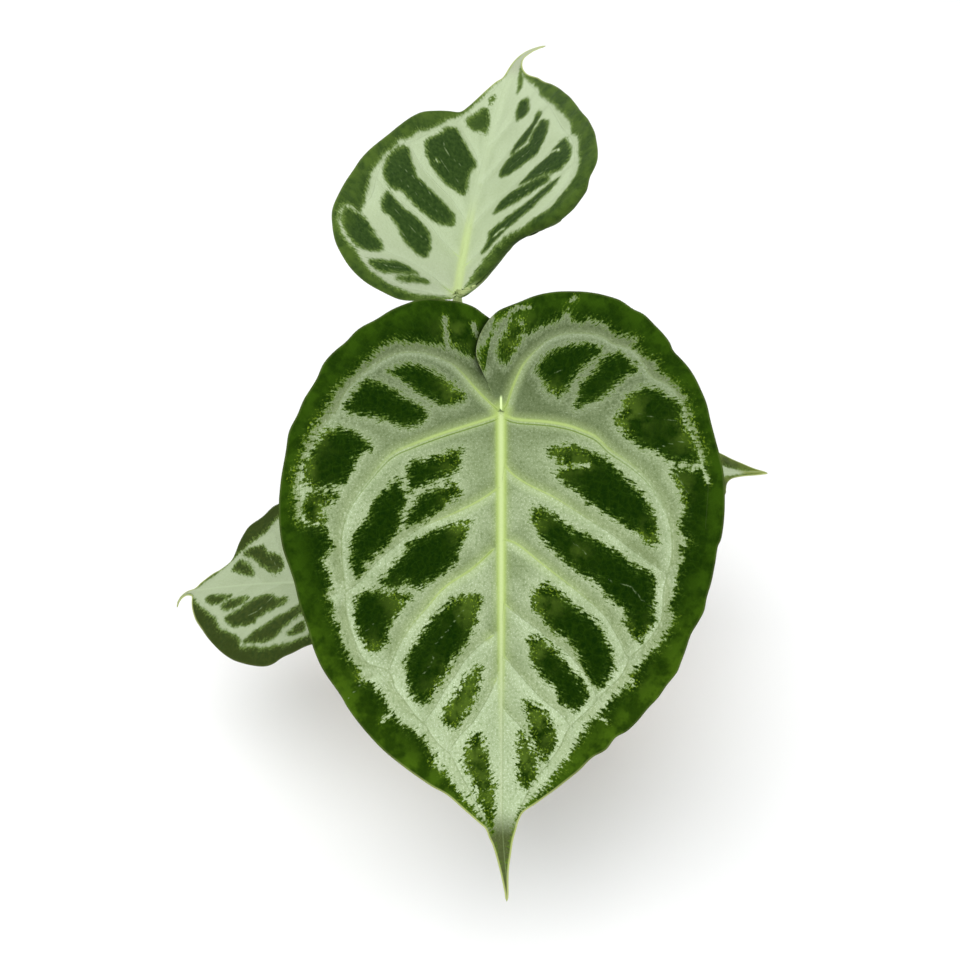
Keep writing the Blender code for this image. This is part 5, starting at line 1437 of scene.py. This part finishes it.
def sheathFinish():
    skin = Finish("sheathPaper", roughness=0.7, gloss=0.25)
    place = skin.read("paper", 1)  # across and along, in millimetres
    streaks = skin.speckle(skin.scaled(place, (1.8, 0.09, 1.0)), 1.0, 4.0, 0.65, 0.2)
    blots = skin.speckle(place, 0.25, 3.0, 0.6, 0.6)
    fine = skin.speckle(place, 2.4, 2.0, 0.6)
    edge = skin.read("edge")
    rise = skin.read("rise")
    colour = skin.blend(blots.ease(0.35, 0.65), sheath["paper"], sheath["pale"])
    colour = skin.blend(streaks.ease(0.42, 0.6) * 0.75, colour, sheath["rib"])
    colour = skin.blend((1.0 - rise.ease(0.0, 0.3)) * 0.6, colour, sheath["greenFoot"])
    colour = skin.blend((edge + (fine - 0.5) * 0.5).ease(0.7, 1.0) * 0.8, colour, sheath["pale"])
    return skin.dress(colour, 0.6 + blots * 0.3, streaks * 0.8 + fine * 0.3, 0.3)


def makeSheath(number, turn, length, lean, finish):
    rng = np.random.default_rng(40 + number)
    rows, columns = sheath["rows"], sheath["columns"]
    share = np.linspace(0.0, 1.0, rows)[:, None]
    across = np.linspace(-1.0, 1.0, columns)[None, :]
    lean = math.radians(lean)
    rise = sheath["foot"] - sheath["start"]
    run = share * (length + rise)
    height = sheath["start"] + np.minimum(run, rise) + np.maximum(run - rise, 0.0) * math.cos(lean)
    radius = sheath["hug"] + (sheath["innerRadius"] - sheath["hug"]) * smooth(run, 0.0, rise)
    radius = radius + np.maximum(run - rise, 0.0) * math.sin(lean)
    torn = 1.0 + sheath["tear"] * np.interp(share, np.linspace(0.0, 1.0, 14), rng.uniform(-1.0, 1.0, 14))
    width = (1.0 - share**2.4) * torn * smooth(share, -0.3, 0.12) + 0.03
    reach = math.radians(sheath["halfWidth"]) * sheath["innerRadius"] * width * across
    radius = radius + sheath["curl"] * across**2 * np.sin(share * 9.0 + number) * (0.3 + share)
    radius = radius + sheath["ribDepth"] * np.cos(sheath["ribs"] * math.pi * across)
    radius = radius + sheath["sway"] * np.sin(share * 5.0 + number) * share
    radius = radius + sheath["tipBend"] * smooth(share, 0.8, 1.0) * math.sin(2.0 * number)
    angle = math.radians(turn) + reach / radius + 0.10 * share**2 * math.sin(1.7 * number)
    inner = np.stack([radius * np.cos(angle), radius * np.sin(angle), height + 0.0 * angle], axis=2)
    thick = sheath["thickness"] * (1.0 - 0.5 * share) * (1.0 - 0.6 * across**4)
    outer = inner + thick[:, :, None] * np.stack([np.cos(angle), np.sin(angle), 0.0 * angle], axis=2)
    # inner and outer skins make one ring of points at each height
    rings = np.concatenate([outer, inner[:, ::-1]], axis=1)
    points, faces = closedRings(rings, rings[0].mean(axis=0), rings[-1].mean(axis=0))
    paper = np.stack([reach, run + 0.0 * reach, 0.0 * reach + number * 30.0], axis=2)
    edge = np.abs(across) + 0.0 * share
    level = share + 0.0 * across
    fields = {}
    for key, grid in (("paper", paper), ("edge", edge), ("rise", level)):
        doubled = np.concatenate([grid, grid[:, ::-1]], axis=1)
        flatGrid = doubled.reshape(len(points) - 2, -1) if grid.ndim == 3 else doubled.ravel()
        fields[key] = np.concatenate([flatGrid, flatGrid[[0, -1]]])
    stands = ("cataphyll_%d" % number,)
    addPiece("sheath%d" % number, points, faces, [finish], stands, fields=fields)


sheathPaper = sheathFinish()
for number, (turn, length, lean) in sheath["scales"].items():
    makeSheath(number, turn, length, lean, sheathPaper)
print("sheaths ready")

# Aerial roots: velvety, out of the stem and down into the mix.
root = {
    "sides": 28, "rings": 130, "radius": 1.8, "taper": 0.12, "start": 6.4, "height": 103.6,
    "depth": 91.0, "routes": {1: (-62.0, 25.0), 2: (22.0, 22.0), 3: (138.0, 27.0), 4: (-125.0, 21.0)},
    "velvet": (0.40, 0.35, 0.22), "pale": (0.56, 0.53, 0.40), "dark": (0.13, 0.09, 0.05),
    "green": (0.26, 0.30, 0.12),
}


def rootFinish():
    skin = Finish("rootVelvet", roughness=0.85, gloss=0.15)
    place = skin.read("skin", 1)
    cloud = skin.speckle(skin.scaled(place, (0.5, 0.5, 0.2)), 1.0, 3.0, 0.6)
    fine = skin.speckle(place, 2.6, 2.0, 0.65)
    cracks = 1.0 - skin.cells(skin.scaled(place, (0.7, 0.7, 1.5)), 1.0).ease(0.0, 0.07)
    velvet = skin.blend(fine.ease(0.4, 0.7), root["velvet"], root["pale"])
    colour = skin.blend(cloud.ease(0.38, 0.62), velvet, root["green"])
    colour = skin.blend(cracks * cloud.ease(0.4, 0.6) * 0.35, colour, root["dark"])
    buried = (skin.read("buried") + (fine - 0.5) * 0.5).ease(0.4, 0.9)
    colour = skin.blend(buried * 0.8, colour, root["dark"])
    return skin.dress(colour, 0.8, fine - cracks * 0.2 + cloud * 0.5, 0.35)


def makeRoot(number, turn, far, finish):
    start, level = root["start"], root["height"]
    turn = math.radians(turn)
    side = 1.6 * math.sin(2.3 * number)
    flat = [(start, 0.0, level - 0.5), (start + 0.35 * (far - start), 0.5 * side, level + 1.6),
            (far - 2.5, side, level + 0.4), (far, 0.6 * side, level - 3.2), (far, 0.0, root["depth"])]
    route = [(x * math.cos(turn) - y * math.sin(turn), x * math.sin(turn) + y * math.cos(turn), z)
             for x, y, z in flat]
    path = through(route, root["rings"])
    share = np.linspace(0.0, 1.0, root["rings"])[:, None]
    angle = 2.0 * math.pi * np.arange(root["sides"])[None, :] / root["sides"]
    radii = root["radius"] * (1.0 - root["taper"] * share) * (1.0 + 0.35 * np.exp(-share * 14.0))
    radii = radii + 0.0 * angle
    places = roundPlaces(angle[0], share[:, 0] * 34.0, 2.0)
    radii *= 1.0 + 0.12 * bumps(places, 0.45, 7.0 * number).reshape(radii.shape)
    radii += 0.08 * bumps(places, 1.7, number).reshape(radii.shape)
    points, faces, skin = tube(path, radii)
    fields = {"skin": skin, "buried": smooth(-points[:, 2], -104.0, -98.0)}
    addPiece("aerialRoot%d" % number, points, faces, [finish], ("aerial_root_%d" % number,),
             fields=fields)


rootVelvet = rootFinish()
for number, (turn, far) in root["routes"].items():
    makeRoot(number, turn, far, rootVelvet)
print("roots ready")

# Potting mix: a dark bed under loose bark chips, perlite, charcoal and a few fibres.
mix = {
    "segments": 180, "bottom": 6.35, "level": 96.6, "mound": 2.6, "gap": 0.35,
    "chipLayers": ((230, 0.4, 4.6), (200, 1.7, 5.4)), "chipSize": (5.0, 14.0), "perlite": 95,
    "charcoal": 45, "fibres": 46, "seed": 12, "bedDark": (0.020, 0.011, 0.006),
    "bedBrown": (0.065, 0.034, 0.018), "barkDark": (0.045, 0.021, 0.011),
    "barkBrown": (0.15, 0.072, 0.034), "barkPale": (0.34, 0.20, 0.11),
    "perliteWhite": (0.80, 0.79, 0.75), "perliteGrey": (0.55, 0.53, 0.48),
    "coal": (0.012, 0.012, 0.013), "coalGrey": (0.05, 0.05, 0.052), "fibre": (0.36, 0.22, 0.11),
    "fibreDark": (0.16, 0.09, 0.045),
}
clay = {
    "segments": 180, "height": 112.0, "floor": 6.0, "baseRadius": 40.0, "bodyRadius": 54.0,
    "collarFoot": 87.0, "collarRadius": 58.2, "rimRadius": 60.0, "innerRim": 54.4, "innerFloor": 35.4,
    "edge": 1.6, "holes": 6, "holeRadius": 2.4, "holeCircle": 24.0, "terracotta": (0.50, 0.195, 0.095),
    "sandy": (0.60, 0.28, 0.155), "fired": (0.36, 0.12, 0.055), "grit": (0.68, 0.42, 0.28),
    "bloom": (0.74, 0.66, 0.56), "damp": (0.23, 0.085, 0.042), "algae": (0.20, 0.20, 0.075),
}


def innerRadius(height):
    share = (height - clay["floor"]) / (clay["height"] - clay["edge"] - clay["floor"])
    return clay["innerFloor"] + (clay["innerRim"] - clay["innerFloor"]) * share


def mixTop(x, y):
    # height of the mix: a low mound with dips and lumps
    radius = math.hypot(x, y)
    lump = noise.noise(Vector((x * 0.06, y * 0.06, 4.0))) * 1.6
    return mix["level"] + mix["mound"] * max(0.0, 1.0 - radius / 50.0) ** 0.8 + lump


def loosePiece(bits, name, finish):
    # many small closed bits joined into one piece
    points, faces, extra = [], [], {"grainPlace": [], "tint": []}
    for bitPoints, bitFaces, local, tint in bits:
        base = len(points)
        points += bitPoints
        faces += [tuple(base + corner for corner in face) for face in bitFaces]
        extra["grainPlace"] += local
        extra["tint"] += [tint] * len(bitPoints)
    piece = addPiece(name, points, faces, [finish], fields=extra)
    piece.data.set_sharp_from_angle(angle=math.radians(38.0))
    print(name, len(bits), "bits", len(faces), "faces")


def cleaned(shape, least):
    # joins points closer than the least distance, cuts the faces to triangles and says if all is closed
    for _ in range(2):
        bmesh.ops.remove_doubles(shape, verts=shape.verts, dist=least)
        bmesh.ops.dissolve_degenerate(shape, edges=shape.edges, dist=least)
        bmesh.ops.triangulate(shape, faces=shape.faces[:])
    shape.verts.index_update()
    corners = {frozenset(vertex.index for vertex in face.verts) for face in shape.faces}
    return len(corners) == len(shape.faces) and all(edge.is_manifold for edge in shape.edges)


def chunk(rng, size, corners, bevel):
    # an angular bit: the hull of random corners with its edges taken off
    shape = bmesh.new()
    for _ in range(corners):
        direction = rng.normal(size=3)
        direction /= np.max(np.abs(direction)) ** 0.7 * np.linalg.norm(direction) ** 0.3
        shape.verts.new(direction * np.array(size) * 0.5 * rng.uniform(0.85, 1.0))
    hull = bmesh.ops.convex_hull(shape, input=shape.verts)
    inside = [item for item in hull["geom_interior"] if isinstance(item, bmesh.types.BMVert)]
    bmesh.ops.delete(shape, geom=inside, context="VERTS")
    bmesh.ops.dissolve_limit(shape, angle_limit=math.radians(9.0), verts=shape.verts, edges=shape.edges)
    rough = shape.copy()
    edges = shape.edges[:]
    bmesh.ops.bevel(shape, geom=edges, offset=bevel, segments=2, affect="EDGES", clamp_overlap=True)
    if not cleaned(shape, 0.02):
        shape.free()
        shape = rough.copy()
        if not cleaned(shape, 0.02):
            print("a bit of bark is not closed")
    rough.free()
    bmesh.ops.recalc_face_normals(shape, faces=shape.faces)
    shape.verts.index_update()
    points = [vertex.co.copy() for vertex in shape.verts]
    faces = [[vertex.index for vertex in face.verts] for face in shape.faces]
    shape.free()
    return points, faces


def lay(rng, bit, x, y, lift, tip):
    # turns a bit about, tips it a little and sets it on the mix
    points, faces = bit
    upright = Vector((rng.normal() * tip, rng.normal() * tip, 1.0))
    ahead = Vector((math.cos(rng.uniform(0.0, 6.28)), math.sin(rng.uniform(0.0, 6.28)), 0.0))
    turn = upright.to_track_quat("Z", "Y").to_matrix() @ ahead.to_track_quat("X", "Z").to_matrix()
    offset = rng.uniform(0.0, 200.0, 3)
    place = Vector((x, y, mixTop(x, y) + lift))
    local = [tuple(np.array(point) + offset) for point in points]
    return [tuple(turn @ point + place) for point in points], faces, local, rng.uniform(0.0, 1.0)


def spots(rng, count, inner, outer, gap):
    # places on the mix that keep a gap from each other
    found = []
    for _ in range(count * 40):
        radius = math.sqrt(rng.uniform(inner * inner, outer * outer))
        angle = rng.uniform(0.0, 2.0 * math.pi)
        x, y = radius * math.cos(angle), radius * math.sin(angle)
        if all((x - a) ** 2 + (y - b) ** 2 > gap * gap for a, b in found):
            found.append((x, y))
        if len(found) == count:
            break
    return found


def barkFinish(name, dark, brown, pale, gloss=0.2):
    skin = Finish(name, roughness=0.85, gloss=gloss)
    place = skin.read("grainPlace", 1)
    tint = skin.read("tint")
    streaks = skin.speckle(skin.scaled(place, (0.16, 1.5, 1.5)), 1.0, 4.0, 0.65, 0.3)
    flakes = skin.speckle(place, 0.5, 3.0, 0.6, 0.8)
    fine = skin.speckle(place, 3.0, 2.0, 0.6)
    colour = skin.blend(tint.ease(0.05, 0.7), dark, brown)
    colour = skin.blend(tint.ease(0.8, 0.95) * 0.5, colour, pale)
    colour = skin.blend((streaks.ease(0.45, 0.66) * 0.6) * (tint * 0.7 + 0.4), colour, pale)
    colour = skin.blend(flakes.ease(0.55, 0.72) * 0.6, colour, dark)
    colour = skin.blend(fine.ease(0.55, 0.75) * 0.3, colour, pale)
    return skin.dress(colour, 0.75 + fine * 0.2, streaks + flakes * 0.5 + fine * 0.3, 0.5)


def makeBed():
    bed = Finish("mixBed", roughness=0.95, gloss=0.1)
    place = bed.spot()
    crumbs = bed.cells(place, 0.45, "F1")
    grain = bed.speckle(place, 0.9, 4.0, 0.7)
    colour = bed.blend(grain.ease(0.4, 0.65), mix["bedDark"], mix["bedBrown"])
    colour = bed.blend((1.0 - crumbs.ease(0.1, 0.6)) * 0.4, colour, mix["barkBrown"])
    bedSoil = bed.dress(colour, 0.9, grain - crumbs, 0.8)

    gap, bottom, level = mix["gap"], mix["bottom"], mix["level"]
    profile = [(0.0, bottom), (innerRadius(bottom) - gap, bottom)]
    profile += [(innerRadius(height) - gap, height) for height in np.linspace(bottom + 2.0, level, 12)]
    edge = innerRadius(level) - gap
    profile += [(edge * share, level) for share in np.linspace(0.985, 0.01, 62)] + [(0.0, level)]
    points, faces = turned(profile, mix["segments"])
    for point in points:
        if point[2] > level - 1.0:
            lumps = noise.noise(Vector(point) * 0.3) * 0.9 + noise.noise(Vector(point) * 0.8) * 0.35
            point[2] = mixTop(point[0], point[1]) + lumps - 0.6
    addPiece("mixBed", points, faces, [bedSoil], ("potting_mix",))


def barkBits(rng, edge):
    low, high = mix["chipSize"]
    bits = []
    for count, lift, spacing in mix["chipLayers"]:
        for x, y in spots(rng, count, 8.5, edge - 2.4, spacing):
            room = max(0.0, edge - math.hypot(x, y))
            size = min(rng.uniform(low, high), 2.0 * room + 2.0)
            sizes = (size, size * rng.uniform(0.45, 0.75), size * rng.uniform(0.16, 0.3) + 0.8)
            bits.append(lay(rng, chunk(rng, sizes, 16, 0.22), x, y, lift, 0.22))
    return bits


def coalBits(rng, edge):
    bits = []
    for x, y in spots(rng, mix["charcoal"], 10.0, edge - 4.0, 6.0):
        size = rng.uniform(3.0, 6.0)
        bits.append(lay(rng, chunk(rng, (size, size * 0.8, size * 0.65), 13, 0.15), x, y, 2.0, 0.6))
    return bits


def perliteBits(rng, edge):
    bits = []
    for x, y in spots(rng, mix["perlite"], 9.5, edge - 3.0, 3.6):
        size = rng.uniform(1.6, 3.8)
        shape = bmesh.new()
        bmesh.ops.create_icosphere(shape, subdivisions=3, radius=size / 2.0)
        shift = Vector(rng.uniform(0.0, 90.0, 3))
        for vertex in shape.verts:
            push = noise.noise(vertex.co * 0.7 + shift) * 0.5
            push += noise.noise(vertex.co * 2.4 + shift) * 0.12
            vertex.co *= 1.0 + push
        rounded = ([vertex.co.copy() for vertex in shape.verts],
                   [[vertex.index for vertex in face.verts] for face in shape.faces])
        shape.free()
        bits.append(lay(rng, rounded, x, y, 2.6, 0.5))
    return bits


def fibreBits(rng, edge):
    bits = []
    farthest = edge - 1.5
    for x, y in spots(rng, mix["fibres"], 12.0, edge - 9.0, 4.0):
        angle, length = rng.uniform(0.0, 6.28), rng.uniform(9.0, 20.0)
        path = []
        for share in np.linspace(-0.5, 0.5, 6):
            px = x + math.cos(angle) * length * share + rng.normal() * 0.8
            py = y + math.sin(angle) * length * share + rng.normal() * 0.8
            inward = min(1.0, farthest / math.hypot(px, py))
            px, py = px * inward, py * inward
            path.append((px, py, mixTop(px, py) + 2.9 + rng.uniform(-0.8, 0.9)))
        path = through(path, 26)
        thin = rng.uniform(0.14, 0.3) * (1.0 - np.abs(np.linspace(-1.0, 1.0, 26)) ** 6 * 0.7)
        points, faces, place = tube(path, thin[:, None] + np.zeros((1, 7)))
        bits.append((points.tolist(), faces, place.tolist(), rng.uniform(0.0, 1.0)))
    return bits


def perliteFinish():
    skin = Finish("perlite", roughness=0.9, gloss=0.2)
    place = skin.read("grainPlace", 1)
    pores = skin.cells(place, 1.9, "F1")
    dust = skin.speckle(place, 1.2, 3.0, 0.6)
    colour = skin.blend(dust.ease(0.4, 0.7), mix["perliteWhite"], mix["perliteGrey"])
    colour = skin.blend((1.0 - pores.ease(0.1, 0.3)) * 0.5, colour, mix["perliteGrey"])
    return skin.dress(colour, 0.85, pores + dust * 0.4, 0.35)


def makeMix():
    makeBed()
    rng = np.random.default_rng(mix["seed"])
    edge = innerRadius(mix["level"] + 2.0)
    bark = barkFinish("barkChip", mix["barkDark"], mix["barkBrown"], mix["barkPale"])
    loosePiece(barkBits(rng, edge), "barkChips", bark)
    coal = barkFinish("charcoal", mix["coal"], mix["coal"], mix["coalGrey"], 0.5)
    loosePiece(coalBits(rng, edge), "charcoal", coal)
    loosePiece(perliteBits(rng, edge), "perlite", perliteFinish())
    fibre = barkFinish("fibre", mix["fibreDark"], mix["fibre"], mix["fibre"])
    loosePiece(fibreBits(rng, edge), "fibres", fibre)


makeMix()


def clayFinish():
    skin = Finish("terracotta", roughness=0.85, gloss=0.25)
    place = skin.spot()
    height = skin.node("SeparateXYZ", {}, {0: place}, 2)
    turning = skin.speckle(skin.spot((0.012, 0.012, 0.9)), 1.0, 4.0, 0.65)
    fine = skin.speckle(place, 2.2, 2.0, 0.6)
    grain = skin.speckle(place, 0.8, 4.0, 0.65)
    cloud = skin.speckle(place, 0.03, 4.0, 0.6, 0.6)
    patches = skin.speckle(place, 0.055, 5.0, 0.68, 0.8)
    drips = skin.speckle(skin.spot((0.12, 0.12, 0.018)), 1.0, 4.0, 0.6, 0.4)
    pits = 1.0 - skin.cells(place, 0.42, "F1").ease(0.05, 0.15)
    grit = 1.0 - skin.cells(place, 0.75, "F1").ease(0.06, 0.16)
    colour = skin.blend(cloud.ease(0.36, 0.64), clay["terracotta"], clay["sandy"])
    colour = skin.blend(turning.ease(0.5, 0.7) * 0.4, colour, clay["fired"])
    colour = skin.blend(grain.ease(0.52, 0.7) * 0.35, colour, clay["sandy"])
    colour = skin.blend(grit * 0.6, colour, clay["grit"])
    dampFoot = 1.0 - (height + drips * 46.0).ease(22.0, 52.0)
    dampRim = (height - drips * 16.0).ease(92.0, 104.0) * 0.6
    colour = skin.blend(dampFoot.most(dampRim) * 0.5, colour, clay["damp"])
    tide = (1.0 - (abs(height - drips * 34.0 - 22.0) / 9.0).ease(0.0, 1.0)) * 0.8
    ledge = (1.0 - (abs(height - 84.0) / 7.0).ease(0.0, 1.0)).most((height / 112.0).ease(0.955, 1.0))
    bloom = tide.most(ledge * 0.7).most(0.16) * patches.ease(0.46, 0.66) * (grain * 0.7 + 0.5)
    colour = skin.blend(bloom, colour, clay["bloom"])
    algae = (1.0 - (height / 34.0).ease(0.1, 1.0)) * patches.ease(0.52, 0.7) * fine.ease(0.3, 0.6)
    colour = skin.blend(algae * 0.5, colour, clay["algae"])
    colour = skin.blend(pits * 0.55, colour, clay["fired"])
    relief = turning * 0.7 + grain * 0.35 + fine * 0.2 - pits * 0.5 + bloom * 0.25
    return skin.dress(colour, 0.78 + grain * 0.18, relief, 0.4)


def arc(middle, radius, first, last, count=7):
    # points of a rounded edge, from one angle to another in degrees
    turns = [math.radians(first + (last - first) * step / (count - 1)) for step in range(count)]
    return [(middle[0] + radius * math.cos(turn), middle[1] + radius * math.sin(turn)) for turn in turns]


def stretch(start, end, spacing=0.8):
    # evenly spaced points of a straight run, without its two ends
    count = max(2, int(math.dist(start, end) / spacing))
    (x0, y0), (x1, y1) = start, end
    return [(x0 + (x1 - x0) * step / count, y0 + (y1 - y0) * step / count) for step in range(1, count)]


def potOutline():
    # once round the wall, from the middle of the foot to the middle of the inner floor
    edge, top, foot, floor = clay["edge"], clay["height"], clay["collarFoot"], clay["floor"]
    base, body = clay["baseRadius"], clay["bodyRadius"]
    inside, innerFloor = (innerRadius(90.0), 90.0), (clay["innerFloor"], floor)
    outline = [(2.0, 0.0)] + stretch((2.0, 0.0), (base - edge, 0.0), 2.0)
    outline += arc((base - edge, edge), edge, -90.0, -5.0)
    outline += stretch(outline[-1], (body, foot - edge))
    outline += [(body, foot - edge), (body + 0.5, foot - 0.5), (body + 1.3, foot)]
    outline += arc((clay["collarRadius"] - edge, foot + edge), edge, -80.0, 0.0)
    outline += stretch(outline[-1], (clay["rimRadius"], top - edge))
    outline += arc((clay["rimRadius"] - edge, top - edge), edge, 0.0, 90.0)
    outline += arc((clay["innerRim"] + edge, top - edge), edge, 90.0, 180.0)
    outline += stretch(outline[-1], inside)
    outline += stretch(inside, innerFloor, 6.0)
    outline += [innerFloor] + stretch(innerFloor, (2.0, floor), 4.0)
    return [(0.0, 0.0)] + outline + [(0.0, floor)]


def drainTools():
    # one waisted tool for each hole, wider below and above the floor
    radius = clay["holeRadius"]
    wide = radius + 2.0
    profile = [(0.0, -3.0), (wide, -3.0), (radius, 0.6), (radius, 5.4), (wide, 9.0), (0.0, 9.0)]
    points, faces = turned(profile, 28)
    tools = []
    for number in range(clay["holes"]):
        angle = 2.0 * math.pi * (number + 0.5) / clay["holes"]
        shift = clay["holeCircle"] * np.array([math.cos(angle), math.sin(angle), 0.0])
        mesh = bpy.data.meshes.new("drainTool")
        mesh.from_pydata(((points + shift) * mm).tolist(), [], faces)
        tool = bpy.data.objects.new("drainTool", mesh)
        bpy.context.scene.collection.objects.link(tool)
        tools.append(tool)
    return tools


def makePot():
    points, faces = turned(potOutline(), clay["segments"])
    for point in points:
        radius = math.hypot(point[0], point[1])
        if radius > 30.0 and point[2] > 2.5:
            mark = noise.noise(Vector((point[0] * 0.004, point[1] * 0.004, point[2] * 0.8))) * 0.16
            mark += noise.noise(Vector((point[0] * 0.02, point[1] * 0.02, point[2] * 0.05))) * 0.3
            mark += noise.noise(Vector((point[0] * 0.01, point[1] * 0.01, point[2] * 2.6))) * 0.07
            keep = 1.0 + (mark - 0.16) / radius
            point[0] *= keep
            point[1] *= keep
    finish = clayFinish()
    pot = addPiece("potShell", points, faces, [finish], ("pot",))
    cutters = drainTools()
    for cutter in cutters:
        cutting = pot.modifiers.new("drain", "BOOLEAN")
        cutting.operation = "DIFFERENCE"
        cutting.object = cutter
    bpy.context.view_layer.update()
    cut = bpy.data.meshes.new_from_object(pot.evaluated_get(bpy.context.evaluated_depsgraph_get()))
    pot.modifiers.clear()
    shape = bmesh.new()
    shape.from_mesh(cut)
    closed = cleaned(shape, 0.02 * mm)
    shape.to_mesh(cut)
    shape.free()
    pot.data = cut
    for cutter in cutters:
        bpy.data.objects.remove(cutter, do_unlink=True)
    pot.data.set_sharp_from_angle(angle=math.radians(50.0))
    print("potShell", len(pot.data.polygons), "faces, closed" if closed else "faces, not closed")


makePot()
